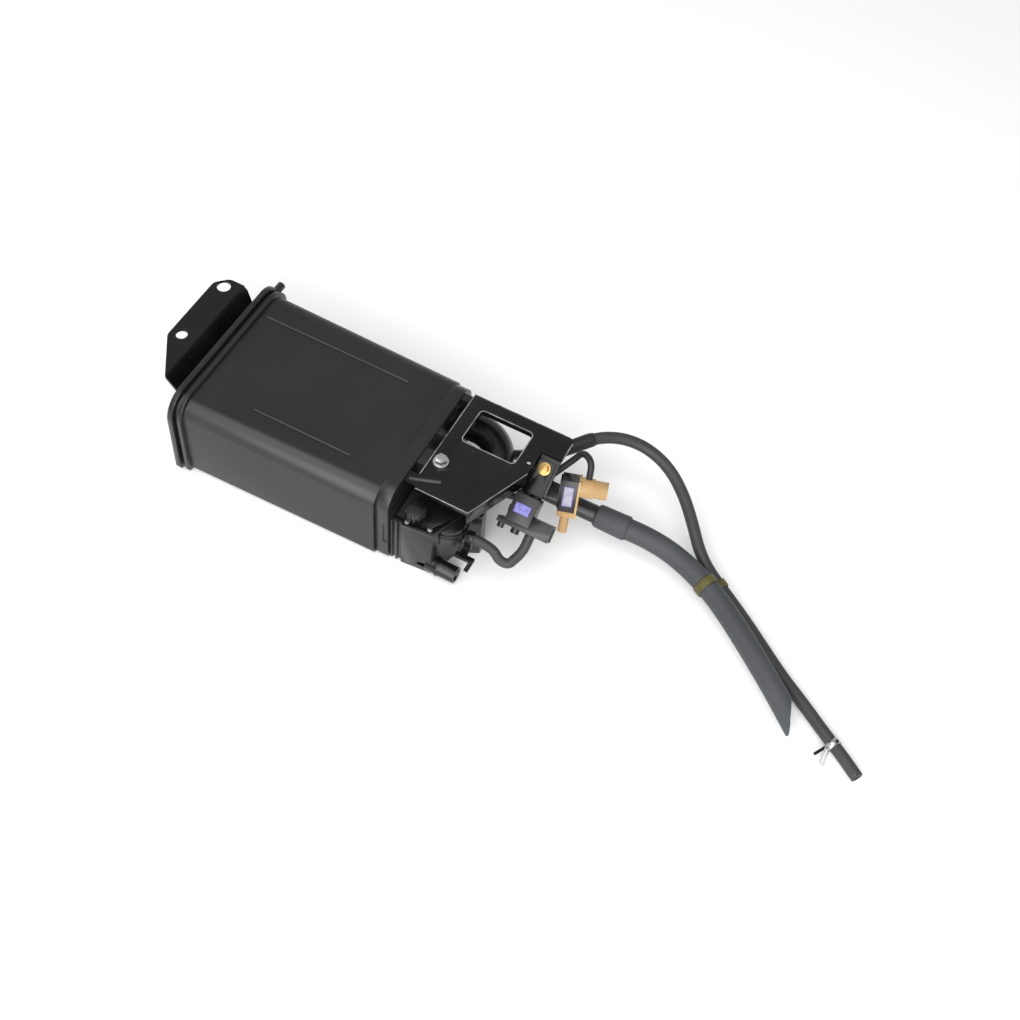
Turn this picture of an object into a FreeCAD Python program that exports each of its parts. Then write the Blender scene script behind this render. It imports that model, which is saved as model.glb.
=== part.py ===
# Charcoal canister of a car's fuel vapour system, with its brackets, valves and hoses.
# Millimetres and degrees. The origin is on the flat underside of the canister, midway across it.
# +X runs along the canister to the hose end, +Y to the side with the duct, +Z up.
import FreeCAD, Part
import math
import os
import re
import Sketcher
from FreeCAD import Placement, Rotation, Vector

NEAR = -1
FAR = 1
# sketches start as a regular polygon of this radius, before their corners are tied to the sheet
START_RADIUS = 50
# how straight an edge is, and how close to a direction it runs, to count as a fillet's edge
STRAIGHT = 0.9999
PARALLEL = 0.99
# the share of its shorter run that each arc of a route takes
ARC_SHARE = 0.45
# lengths below this are left out
TINY = 0.01

SIZES = {
    # canister
    "rearReach": 111,
    "frontReach": 107,
    "canHeight": 90,
    "rearWidth": 164,
    "caseTaper": 8,
    "coverTaper": 16,
    "wall": 2.5,
    "endWall": 3,
    "topRound": 18,
    "footRound": 6,
    "rearCoverDepth": 9,
    "frontCoverDepth": 13,
    "coverLip": 5,
    "coverProud": 6,
    "caseLip": 4,
    "lipProud": 4.5,
    "frontProud": 1.5,
    "partitionAt": -1,
    "partitionWall": 2.5,
    "ridgeWidth": 1.6,
    "ridgeHeight": 0.8,
    "farRidgeAt": 46,
    "farRidgeStart": -92,
    "farRidgeLength": 150,
    "nearRidgeAt": -50,
    "nearRidgeStart": -44,
    "nearRidgeLength": 99,
    "lugRadius": 4,
    "lugLength": 5,
    "lugRoot": 5,
    "clipSlotFoot": 24,
    "clipSlotTop": 52,
    "clipSlotWidth": 4,
    "clipSlotDepth": 1.2,
    "clipSlotInset": 1,
    # charcoal, pads, grids and springs
    "fitGap": 0.4,
    "springRoom": 16,
    "gridPlate": 3,
    "padThick": 5,
    "frontPostLength": 17,
    "postRadius": 4,
    "postInset": 20,
    "gridHoleRadius": 4,
    "gridHolePitch": 24,
    "bedSpringRadius": 15,
    "bedSpringWire": 1.6,
    "bedSpringPitch": 4.8,
    # left bracket
    "leftTop": 0,
    "leftSteel": 2.3,
    "leftOuter": -47,
    "leftFold": -21,
    "leftWebAngle": 51,
    "leftFlangeFoot": 24,
    "leftNearEdge": -58,
    "leftFarEdge": 68,
    "leftOuterNear": -17,
    "leftOuterFar": 57,
    "leftCornerRound": 9,
    "leftFarTrim": 11,
    "webTrimStart": 4,
    "webTrimAlong": 8,
    "webTrimAcross": 5,
    "bigHoleRadius": 6.5,
    "bigHoleAlong": -36,
    "bigHoleAcross": 57.5,
    "smallHoleRadius": 5.4,
    "holePitch": 68,
    # screws of the left bracket
    "screwRadius": 2.5,
    "screwDepth": 9,
    "screwEndRoom": 2,
    "screwHead": 4.6,
    "screwHeadHeight": 4,
    "screwHeight": 36,
    "screwPitch": 22,
    "bossRadius": 6,
    # right bracket
    "plateTop": 0,
    "plateSteel": 2,
    "plateLeft": 9,
    "plateCornerTrim": 4,
    "plateRight": 109.5,
    "plateFar": 65,
    "plateNear": -51,
    "plateTip": 64.5,
    "plateSlit": 89.5,
    "slitNear": 11,
    "tongueRoot": 38,
    "plateRound": 5,
    "flangeDepth": 15,
    "farFlangeDepth": 7,
    "nearFlangeDepth": 4,
    "windowLeft": 22.5,
    "windowRight": 74.5,
    "windowNear": 14,
    "windowFar": 52,
    "windowLip": 4,
    "windowRound": 4,
    "squareHole": 3.6,
    "squareHoleAlong": 85,
    "squareHoleAcross": 22.5,
    "beadRadius": 3,
    "beadLength": 28,
    "beadAlong": 3,
    "beadAcross": -44,
    "beadAngle": 22,
    "tabNear": -49,
    "tabFar": -37,
    # bolts of the right bracket
    "boltRadius": 3,
    "boltFit": 0.3,
    "boltLength": 16,
    "boltAlong": 18.7,
    "boltAcross": -16,
    "boltHead": 5.6,
    "boltHeadHeight": 4.5,
    "washerRadius": 7,
    "washerThick": 1.2,
    "armWidth": 18,
    "armLength": 28,
    "armDepth": 19,
    "farArmAcross": 63,
    "farArmWidth": 8,
    "farArmDepth": 9,
    # valve bracket: a tongue that slopes down from under the plate
    "tongueSteel": 1.6,
    "tongueLeft": 84.5,
    "tongueRight": 109,
    "tongueSlope": 38,
    "tongueLap": 20,
    "tongueLength": 35,
    "notchRadius": 5,
    "yokeBoltAlong": 98,
    "yokeBoltDown": 11,
    "yokeBoltRadius": 2.5,
    "yokeBoltLength": 8,
    "yokeBoltHead": 4.4,
    "yokeBoltHeight": 4,
    "yokeWasherRadius": 5.8,
    "yokeWasherThick": 1,
    # duct elbow
    "ductRadius": 14,
    "ductWall": 2,
    "ductBend": 33,
    "ductAcross": 56,
    "ductHeight": -34,
    "ductRun": 20,
    "ductEnd": -22,
    "ductFlange": 17,
    "ductFlangeThick": 3,
    "purgeStubAngle": 30,
    "purgeStubLength": 9,
    "purgeStubRadius": 4.5,
    "vacuumStubAcross": 5,
    "vacuumStubLength": 8,
    # air valve housing
    "housingTop": -30,
    "housingFoot": 1,
    "housingWall": 2.5,
    "housingNear": -73,
    "housingStep": -70.5,
    "housingStepAt": 12,
    "housingCorner": 41,
    "housingCornerNear": -70.5,
    "housingShoulder": 53,
    "housingShoulderAcross": -38,
    "housingRight": 69,
    "housingRightAcross": -30,
    "slantInset": 3,
    "socketTop": -17,
    "socketDepth": 5,
    "socketHalf": 16,
    "socketReach": 28,
    "socketBoreDepth": 11,
    "ribProud": 2,
    "ribWidth": 2,
    "ribInset": 1,
    "ribPitch": 5,
    "lidThick": 2.5,
    "lidOverhang": 1.2,
    "lidFar": -28.5,
    "lidTrim": 6,
    "nozzleRadius": 7.75,
    "nozzleBore": 5.8,
    "nozzleLength": 19,
    "nozzleAcross": -66,
    "nozzleHeight": 10,
    "nozzleRoot": 46,
    "nozzleSink": 10,
    "nozzleBoreSink": 18,
    "collarProud": 0.8,
    "collarWidth": 2.5,
    "lidScrewRadius": 1.2,
    "lidScrewDepth": 6,
    "lidScrewHead": 2.4,
    "lidHeadHeight": 1.4,
    "lidScrewInset": 4,
    "lidPostRadius": 3,
    "lidPostFoot": 3,
    "capAlong": 20,
    "capAcross": -61,
    "capRadius": 9,
    "capHeight": 10,
    "capRibWidth": 1.4,
    "capRibProud": 1,
    "capStemRadius": 5,
    "capStemHeight": 4,
    "filterClear": 3,
    # round diaphragm chamber
    "discAlong": 45,
    "discAcross": -45,
    "discRadius": 17,
    "discFoot": -51,
    "discCaseHeight": 12,
    "discCoverHeight": 7,
    "membrane": 1.2,
    "discWall": 1.6,
    "cupWall": 2,
    "discRim": 2,
    "discRoomInset": 3,
    "discDomeInset": 1.5,
    "membraneInset": 0.5,
    "discSpringRadius": 6,
    "discSpringWire": 0.8,
    "discPortHeight": -44.5,
    "discPortLength": 8,
    "discPortSink": 3.5,
    # valves, in their own frames: x across, y up the valve, z out of the labelled face
    "valveDeep": 18,
    "valveShell": 1.8,
    "coilInner": 4.4,
    "coilOuter": 6.1,
    "coreLength": 10,
    "plungerRadius": 4,
    "plungerStroke": 1.5,
    "plungerPocket": 5,
    "plungerWire": 0.4,
    "plungerPitch": 1.2,
    "pocketRadius": 2.4,
    "seatBore": 1.5,
    "seatTall": 1.7,
    "seatWall": 1,
    "stubWall": 1.5,
    "stubBore": 1.5,
    "stubStep": 0.8,
    "portBlockTall": 5,
    "portStubRadius": 3.2,
    "portStubLength": 5,
    "hoseGrip": 8,
    "yokeSteel": 1.2,
    "labelThick": 0.2,
    "firstAlong": 98.5,
    "firstDown": 50,
    "firstWidth": 22.5,
    "firstTall": 26,
    "firstPortWidth": 36,
    "firstStubPitch": 14,
    "firstLabelWidth": 15,
    "firstLabelTall": 9.5,
    "connectorLength": 20,
    "connectorTall": 15,
    "socketRoom": 15,
    "strapWidth": 19.5,
    "strapGap": 3,
    "cheekDrop": 2,
    "hoodDrop": 4,
    "secondAlong": 126.9,
    "secondAcross": 19,
    "secondHeight": -18,
    "secondYaw": 18,
    "secondTilt": 60,
    "secondWidth": 15,
    "secondTall": 30,
    "secondLabelWidth": 10,
    "secondLabelTall": 20,
    "flangeSteel": 2,
    "flangeProud": 0.6,
    "sideInset": 2,
    "linkLap": 12,
    "linkReach": 11,
    "bossRound": 9,
    "bossLength": 12,
    "plugRadius": 8,
    "plugLength": 14,
    "plugHeight": 7.5,
    "lowNozzleRadius": 4.2,
    "lowNozzleLength": 18,
    # pipes and hoses
    "drainPipeRadius": 8.5,
    "drainPipeWall": 1.5,
    "drainPipeAcross": 42.5,
    "drainPipeHeight": 30,
    "drainPipeEnd": 149,
    "drainHoseRadius": 10,
    "purgeHoseRadius": 5.5,
    "sleeveRadius": 6.6,
    "hoseFit": 0.3,
    "hoseSlip": 0.02,
    "closeFit": 0.05,
    "shortHoseRadius": 4.5,
    "shortHoseBore": 2.5,
    "thinHoseRadius": 3,
    "thinHoseBore": 1.5,
    "firstRun": 22,
    "sleeveStart": 2,
    "sleeveEnd": 66,
    "clampFromEnd": 34,
    "clampSteel": 1,
    "clampWidth": 6,
    "bandOnDrain": 118,
    "bandOnPurge": 262,
    "bandWidth": 8,
    "bandThick": 1.2,
    "slantLength": 31,
    "slantFlat": 1,
    "clampEarLow": 7,
    "clampEarHigh": 9,
    "clipSteel": 1.2,
    "clipWidth": 7,
    "clipGap": 0.1,
    "clipStart": 1,
    "clipWebReach": 16,
    "clipWebTop": 8.4,
    "clipWebFoot": 10,
    "clipDropSteel": 1.8,
    "clipPlateBack": 3,
    "clipPlateAhead": 15,
    "clipPlateNear": 18,
    "clipPlateFar": 13,
    "clipPlateFoot": 12,
    "clipTangWidth": 4,
    "clipTangReach": 27,
    # how far a cutting shape runs past the face that it cuts
    "past": 1,
}

# these places are measured from the canister's front face, rear face and top
FROM_FRONT = [
    "plateLeft", "plateRight", "plateTip", "plateSlit", "windowLeft", "windowRight", "squareHoleAlong",
    "beadAlong", "boltAlong", "tongueLeft", "tongueRight", "yokeBoltAlong", "housingStepAt",
    "housingCorner", "housingShoulder", "housingRight", "nozzleRoot", "capAlong", "discAlong",
    "firstAlong", "secondAlong", "drainPipeEnd",
]
FROM_REAR = ["leftOuter", "leftFold", "bigHoleAlong"]
FROM_TOP = [
    "leftTop", "plateTop", "ductHeight", "housingTop", "socketTop", "discFoot", "discPortHeight",
    "secondHeight",
]


def cell_text(alias, amount):
    for datum, names in (("frontReach", FROM_FRONT), ("-rearReach", FROM_REAR), ("canHeight", FROM_TOP)):
        if alias in names:
            return f"={datum} + ({amount})"
    return str(amount)


def new_document():
    doc = FreeCAD.newDocument("CharcoalCanister")
    sheet = doc.addObject("Spreadsheet::Sheet", "Sizes")
    for row, (alias, amount) in enumerate(SIZES.items(), 1):
        sheet.set(f"A{row}", alias)
        sheet.set(f"B{row}", cell_text(alias, amount))
        sheet.setAlias(f"B{row}", alias)
    doc.recompute()
    return doc, sheet


doc, sheet = new_document()
pieces = []


def size(alias):
    return float(sheet.get(alias))


# writes each size's name as a reference to its cell
def linked(text):
    return re.sub(r"[A-Za-z_]\w*", lambda word: "Sizes." + word[0] if word[0] in SIZES else word[0], text)


def bind(thing, **properties):
    for name, text in properties.items():
        thing.setExpression(name, linked(str(text)))


def put(thing, x, y, z):
    for axis, text in zip("xyz", (x, y, z)):
        thing.setExpression("Placement.Base." + axis, linked(str(text)))


def name_piece(thing, label):
    thing.Label = label
    pieces.append(thing)
    return thing


AXIS_TURN = {
    "X": Rotation(Vector(0, 1, 0), 90),
    "Y": Rotation(Vector(1, 0, 0), -90),
    "Z": Rotation(),
}


def block(name, x, y, z):
    box = doc.addObject("Part::Box", name)
    bind(box, Length=f"({x[1]}) - ({x[0]})", Width=f"({y[1]}) - ({y[0]})", Height=f"({z[1]}) - ({z[0]})")
    put(box, x[0], y[0], z[0])
    return box


def rod(name, axis, radius, length, x, y, z):
    cylinder = doc.addObject("Part::Cylinder", name)
    cylinder.Placement = Placement(Vector(), AXIS_TURN[axis])
    bind(cylinder, Radius=radius, Height=length)
    put(cylinder, x, y, z)
    return cylinder


def join(name, *shapes):
    if len(shapes) == 1:
        return shapes[0]
    union = doc.addObject("Part::MultiFuse", name)
    union.Shapes = list(shapes)
    union.Refine = True
    return union


def cut(name, base, *tools):
    result = doc.addObject("Part::Cut", name)
    result.Base = base
    result.Tool = join(name + "Cutters", *tools)
    return result


def group(name, *shapes):
    compound = doc.addObject("Part::Compound", name)
    compound.Links = list(shapes)
    return compound


def body(name):
    return doc.addObject("PartDesign::Body", name)


# a closed outline whose corners are tied to the sheet; it starts as a regular polygon
def outline(owner, name, plane, corners, offset="0"):
    sketch = owner.newObject("Sketcher::SketchObject", name)
    origin_plane = [item for item in owner.Origin.OriginFeatures if item.Role == plane + "_Plane"][0]
    sketch.AttachmentSupport = (origin_plane, [""])
    sketch.MapMode = "FlatFace"
    sketch.setExpression("AttachmentOffset.Base.z", linked(str(offset)))
    count = len(corners)
    start = []
    for number in range(count):
        angle = 2 * math.pi * number / count
        start.append(Vector(math.cos(angle), math.sin(angle), 0) * START_RADIUS)
    for number in range(count):
        sketch.addGeometry(Part.LineSegment(start[number], start[(number + 1) % count]), False)
    for number in range(count):
        sketch.addConstraint(Sketcher.Constraint("Coincident", number, 2, (number + 1) % count, 1))
    for number, (across, up) in enumerate(corners):
        ways = (("DistanceX", across, start[number].x), ("DistanceY", up, start[number].y))
        for kind, text, first in ways:
            index = sketch.addConstraint(Sketcher.Constraint(kind, -1, 1, number, 1, first))
            sketch.setExpression(f"Constraints[{index}]", linked(str(text)))
    return sketch


def feature(owner, kind, name, sketch, length, back=False):
    made = owner.newObject("PartDesign::" + kind, name)
    made.Profile = sketch
    made.setExpression("Length", linked(str(length)))
    made.Reversed = back
    doc.recompute()
    return made


# rounds the straight edges of one direction whose middle passes the test
def soften(owner, name, radius, direction, chosen):
    tip = owner.Tip
    names = []
    for number, edge in enumerate(tip.Shape.Edges, 1):
        ends = [corner.Point for corner in edge.Vertexes]
        if len(ends) < 2:
            continue
        chord = ends[1] - ends[0]
        straight = chord.Length > STRAIGHT * edge.Length
        parallel = abs(chord.dot(direction)) > PARALLEL * chord.Length
        if straight and parallel and chosen(edge.CenterOfMass):
            names.append(f"Edge{number}")
    made = owner.newObject("PartDesign::Fillet", name)
    made.Base = (tip, names)
    made.setExpression("Radius", linked(str(radius)))
    doc.recompute()
    return made


ALONG = Vector(1, 0, 0)
ACROSS = Vector(0, 1, 0)
UP = Vector(0, 0, 1)

REAR = "(-rearReach)"
FRONT = "frontReach"
CASE_START = "(rearCoverDepth - rearReach)"
CASE_END = "(frontReach - frontCoverDepth)"
FRONT_WIDTH = "(rearWidth - caseTaper)"
COVER_WIDTH = "(rearWidth - coverTaper)"


def box_outline(half, foot, top):
    return [(f"-({half})", foot), (f"{half}", foot), (f"{half}", top), (f"-({half})", top)]


def is_high(middle):
    return middle.z > size("canHeight") / 2


# Canister

# rounds the long edges of a block that lies along X
def round_long_edges(solid, top_round, foot_round, chosen=lambda middle: True):
    name = solid.Name
    soften(solid, name + "Top", top_round, ALONG, lambda middle: chosen(middle) and is_high(middle))
    soften(solid, name + "Foot", foot_round, ALONG, lambda middle: chosen(middle) and not is_high(middle))
    return solid


def straight_block(name, start, end, section):
    solid = body(name)
    feature(solid, "Pad", name + "Pad", outline(solid, name + "Outline", "YZ", section, start),
            f"({end}) - ({start})")
    return solid


# the case narrows a little towards its front, so it is drawn from above
def drafted_block(name, start, end):
    solid = body(name)
    corners = [(start, "-rearWidth / 2"), (end, f"-{FRONT_WIDTH} / 2"),
               (end, f"{FRONT_WIDTH} / 2"), (start, "rearWidth / 2")]
    feature(solid, "Pad", name + "Pad", outline(solid, name + "Plan", "XY", corners), "canHeight")
    return solid


# the full width of the canister between two planes, standing proud of the case by a margin
def full_block(name, start, end, width, proud="0"):
    section = box_outline(f"({width}) / 2 + {proud}", "0", f"canHeight + {proud}")
    solid = straight_block(name, start, end, section)
    return round_long_edges(solid, f"topRound + {proud}", "footRound")


def hollow_block(name, start, end, width):
    section = box_outline(f"{width} / 2 - wall", "wall", "canHeight - wall")
    solid = straight_block(name, start, end, section)
    return round_long_edges(solid, "topRound - wall", "footRound - wall")


def canister_case():
    shell = round_long_edges(drafted_block("CaseShell", CASE_START, CASE_END), "topRound", "footRound")
    lip = full_block("CaseLip", CASE_START, f"{CASE_START} + caseLip", "rearWidth", "lipProud")
    ridges = [
        ridge("FarRidge", "farRidgeAt", "farRidgeStart", "farRidgeLength"),
        ridge("NearRidge", "nearRidgeAt", "nearRidgeStart", "nearRidgeLength"),
    ]
    rooms = [
        chamber_block("NearRoom", CASE_START, CASE_END, NEAR, "0"),
        chamber_block("FarRoom", CASE_START, CASE_END, FAR, "0"),
    ]
    name_piece(cut("Case", join("CaseSolid", shell, lip, *ridges), *rooms), "canister_case")


# one side's inner outline, kept clear of the walls by a gap
def chamber_outline(side, gap):
    wall_side = f"{side} * ({FRONT_WIDTH} / 2 - wall - {gap})"
    partition_side = f"partitionAt + {side} * (partitionWall / 2 + {gap})"
    foot = f"wall + {gap}"
    top = f"canHeight - wall - {gap}"
    return [(partition_side, foot), (wall_side, foot), (wall_side, top), (partition_side, top)]


def ridge(name, across, start, length):
    return block(name, (start, f"{start} + {length}"),
                 (f"{across} - ridgeWidth / 2", f"{across} + ridgeWidth / 2"),
                 ("canHeight - wall / 2", "canHeight + ridgeHeight"))


INNER_REAR = f"({REAR} + endWall)"
INNER_FRONT = f"({FRONT} - endWall)"


def rear_cover():
    neck = full_block("RearNeck", REAR, CASE_START, "rearWidth")
    lip = full_block("CoverLip", REAR, f"{REAR} + coverLip", "rearWidth", "coverProud")
    lug = rod("RearLug", "Y", "lugRadius", "lugLength + lugRoot", f"{REAR} + lugRadius",
              "rearWidth / 2 + coverProud - lugRoot", "canHeight - topRound / 2")
    hollow = hollow_block("RearHollow", INNER_REAR, CASE_START, "rearWidth")
    shell = cut("RearShell", join("RearOuter", neck, lip, lug), hollow)
    bosses = []
    holes = []
    for number, shift in enumerate("-+", 1):
        across = f"partitionAt {shift} screwPitch / 2"
        bosses.append(rod(f"RearBoss{number}", "X", "bossRadius", "screwDepth + endWall", REAR, across,
                          "screwHeight"))
        holes.append(rod(f"RearBossHole{number}", "X", "screwRadius", "screwDepth + past",
                         f"{REAR} - past", across, "screwHeight"))
    name_piece(cut("RearCover", join("RearCoverSolid", shell, *bosses), *holes), "rear_cover")


def front_cover():
    band = full_block("FrontBand", CASE_END, FRONT, COVER_WIDTH, "frontProud")
    shell = cut("FrontShell", band, hollow_block("FrontHollow", CASE_END, INNER_FRONT, COVER_WIDTH))
    posts = []
    for number, (across, height) in enumerate(post_places(), 1):
        posts.append(rod(f"FrontPost{number}", "X", "postRadius", "frontPostLength",
                         f"{INNER_FRONT} - frontPostLength", across, height))
    arm = block("BoltArm", (f"{FRONT} - past", f"{FRONT} + armLength"),
                ("boltAcross - armWidth / 2", "boltAcross + armWidth / 2"),
                ("plateTop - plateSteel - armDepth", "plateTop - plateSteel"))
    far_arm = block("FarArm", (f"{FRONT} - past", f"{FRONT} + armLength"),
                    ("farArmAcross - farArmWidth", "farArmAcross"),
                    ("plateTop - plateSteel - farArmDepth", "plateTop - plateSteel"))
    bolt_hole = rod("BoltHole", "Z", "boltRadius", "boltLength + past", "boltAlong", "boltAcross",
                    "plateTop - boltLength")
    duct_hole = rod("DuctHole", "X", "ductRadius - ductWall", "endWall + 2 * past",
                    f"{INNER_FRONT} - past", "ductAcross", "ductHeight")
    drain_hole = rod("DrainHole", "X", "drainPipeRadius - drainPipeWall", "endWall + 2 * past",
                     f"{INNER_FRONT} - past", "drainPipeAcross", "drainPipeHeight")
    side_face = f"(-{COVER_WIDTH} / 2 - frontProud)"
    slot = block("ClipSlot", (f"{FRONT} - clipSlotInset - clipSlotWidth", f"{FRONT} - clipSlotInset"),
                 (f"{side_face} - past", f"{side_face} + clipSlotDepth"), ("clipSlotFoot", "clipSlotTop"))
    solid = join("FrontCoverSolid", shell, arm, far_arm, *posts)
    name_piece(cut("FrontCover", solid, bolt_hole, duct_hole, drain_hole, slot), "front_cover")


FAR_POST = f"{FRONT_WIDTH} / 4 - postInset"


def post_places():
    return [(f"-{FRONT_WIDTH} / 4", "postInset"), (f"-{FRONT_WIDTH} / 4", "canHeight - postInset"),
            (FAR_POST, "postInset"), (FAR_POST, "canHeight - postInset")]


# a block that fills one side of the case between two planes, kept clear of the walls by a gap
def chamber_block(name, start, end, side, gap):
    filling = straight_block(name, start, end, chamber_outline(side, gap))
    at_wall = lambda middle: middle.y * side > size("rearWidth") / 4
    return round_long_edges(filling, "topRound - wall", "footRound - wall", at_wall)


GRID_START = f"({INNER_REAR} + springRoom)"
REAR_PAD_START = f"({GRID_START} + gridPlate)"
BED_START = f"({REAR_PAD_START} + padThick)"
BED_END = f"({INNER_FRONT} - frontPostLength - padThick)"


def charcoal_side(side, name, word):
    bed = chamber_block(f"{name}Bed", BED_START, BED_END, side, "fitGap")
    name_piece(bed, f"charcoal_bed_{word}")
    rear_pad = chamber_block(f"{name}RearPad", REAR_PAD_START, BED_START, side, "fitGap")
    name_piece(rear_pad, f"rear_pad_{word}")
    front_pad = chamber_block(f"{name}FrontPad", BED_END, f"{BED_END} + padThick", side, "fitGap")
    name_piece(front_pad, f"front_pad_{word}")
    plate = chamber_block(f"{name}Grid", GRID_START, REAR_PAD_START, side, "fitGap")
    middle = f"{side} * {FRONT_WIDTH} / 4"
    holes = []
    for row in (-1, 0, 1):
        for column in (-1, 1):
            holes.append(rod(f"{name}GridHole{len(holes) + 1}", "X", "gridHoleRadius",
                             "gridPlate + 2 * past", f"{GRID_START} - past",
                             f"{middle} + {column} * gridHolePitch",
                             f"canHeight / 2 + {row} * gridHolePitch"))
    name_piece(cut(f"{name}GridPlate", plate, *holes), f"grid_plate_{word}")
    spring = coil(f"{name}Spring", "bedSpringRadius", "bedSpringWire", "bedSpringPitch",
                  "springRoom - bedSpringWire", "X",
                  f"{INNER_REAR} + bedSpringWire / 2", middle, "canHeight / 2")
    name_piece(spring, f"bed_spring_{word}")


COIL_SIDES = 14


# a coil spring along one axis, from the middle of its first wire, in short straight lengths
def coil(name, radius, wire, pitch, height, axis, x, y, z):
    helix = doc.addObject("Part::Helix", name + "Helix")
    bind(helix, Radius=radius, Pitch=pitch, Height=height)
    section = doc.addObject("Part::Circle", name + "Wire")
    bind(section, Radius=f"({wire}) / 2")
    doc.recompute()
    count = round(COIL_SIDES * helix.Height.Value / helix.Pitch.Value)
    points = helix.Shape.Edges[0].discretize(count + 1)
    profile = Part.Wire([Part.makeCircle(section.Radius.Value, points[0], points[1] - points[0])])
    spring = doc.addObject("Part::Feature", name)
    spring.Shape = Part.makePolygon(points).makePipeShell([profile], True, False, 1)
    spring.Placement = Placement(Vector(), AXIS_TURN[axis])
    put(spring, x, y, z)
    return spring


# Brackets

def left_bracket():
    bracket = body("LeftBracketSheet")
    drop = "(-leftFold - rearReach) * tan(leftWebAngle * 1deg)"
    knee = f"(leftTop - {drop})"
    side_view = [
        ("leftOuter", "leftTop"),
        ("leftFold", "leftTop"),
        (REAR, knee),
        (REAR, "leftFlangeFoot"),
        (f"{REAR} - leftSteel", "leftFlangeFoot"),
        (f"{REAR} - leftSteel", f"{knee} - leftSteel * tan((90 - leftWebAngle) / 2 * 1deg)"),
        ("leftFold - leftSteel * tan(leftWebAngle / 2 * 1deg)", "leftTop - leftSteel"),
        ("leftOuter", "leftTop - leftSteel"),
    ]
    profile = outline(bracket, "LeftSide", "XZ", side_view, "-leftFarEdge")
    feature(bracket, "Pad", "LeftPad", profile, "leftFarEdge - leftNearEdge")
    near_corner = [
        ("leftOuter - past", "leftNearEdge - past"),
        ("leftFold", "leftNearEdge - past"),
        ("leftFold", "leftNearEdge"),
        ("leftOuter", "leftOuterNear"),
        ("leftOuter - past", "leftOuterNear"),
    ]
    far_corner = [
        ("leftOuter - past", "leftFarEdge + past"),
        ("leftOuter - past", "leftOuterFar"),
        ("leftOuter", "leftOuterFar"),
        ("leftOuter + leftFarTrim", "leftFarEdge"),
        ("leftOuter + leftFarTrim", "leftFarEdge + past"),
    ]
    web_corner = [
        ("leftFold + webTrimStart", "leftFarEdge + past"),
        ("leftFold + webTrimStart", "leftFarEdge"),
        (f"{REAR} - webTrimAlong", "leftFarEdge - webTrimAcross"),
        (f"{REAR} + past", "leftFarEdge - webTrimAcross"),
        (f"{REAR} + past", "leftFarEdge + past"),
    ]
    for name, corners in (("Near", near_corner), ("Far", far_corner), ("Web", web_corner)):
        trim = outline(bracket, f"Left{name}Trim", "XY", corners, "leftTop + past")
        feature(bracket, "Pocket", f"Left{name}Cut", trim, "leftTop")
    foot = size("leftTop") - size("leftSteel")
    outer = lambda middle: middle.x < size("leftFold") - size("leftSteel") and middle.z > foot
    soften(bracket, "LeftCorners", "leftCornerRound", UP, outer)
    holes = []
    for name, across, radius in (("Big", "bigHoleAcross", "bigHoleRadius"),
                                 ("Small", "bigHoleAcross - holePitch", "smallHoleRadius")):
        holes.append(rod(f"Left{name}Hole", "Z", radius, "leftSteel + 2 * past", "bigHoleAlong", across,
                         "leftTop - leftSteel - past"))
    for number, shift in enumerate(("-", "+"), 1):
        holes.append(rod(f"LeftScrewHole{number}", "X", "screwRadius", "leftSteel + 2 * past",
                         f"{REAR} - leftSteel - past", f"partitionAt {shift} screwPitch / 2",
                         "screwHeight"))
    name_piece(cut("LeftBracket", bracket, *holes), "left_bracket")


def left_bracket_screws():
    screws = []
    for number, shift in enumerate(("-", "+"), 1):
        across = f"partitionAt {shift} screwPitch / 2"
        shank = rod(f"ScrewShank{number}", "X", "screwRadius - closeFit",
                    "screwDepth - screwEndRoom + leftSteel", f"{REAR} - leftSteel", across, "screwHeight")
        head = hexagon(f"ScrewHead{number}", "screwHead", "screwHeadHeight", "X",
                       f"{REAR} - leftSteel - screwHeadHeight", across, "screwHeight")
        screws.append(join(f"Screw{number}", shank, head))
    name_piece(group("LeftBracketScrews", *screws), "left_bracket_screws")


def hexagon(name, radius, height, axis, x, y, z):
    prism = doc.addObject("Part::Prism", name)
    prism.Polygon = 6
    prism.Placement = Placement(Vector(), AXIS_TURN[axis])
    bind(prism, Circumradius=radius, Height=height)
    put(prism, x, y, z)
    return prism


# the four corners of a strip of sheet on the left of the line from one point to the next
def strip(first, second, thick):
    run = [f"(({b}) - ({a}))" for a, b in zip(first, second)]
    length = f"sqrt({run[0]} ^ 2 + {run[1]} ^ 2)"
    shift = (f"-{run[1]} / {length} * {thick}", f"{run[0]} / {length} * {thick}")
    inner = [(f"({point[0]}) + {shift[0]}", f"({point[1]}) + {shift[1]}") for point in (second, first)]
    return [first, second, *inner]


PLATE_FOOT = "(plateTop - plateSteel)"


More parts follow.
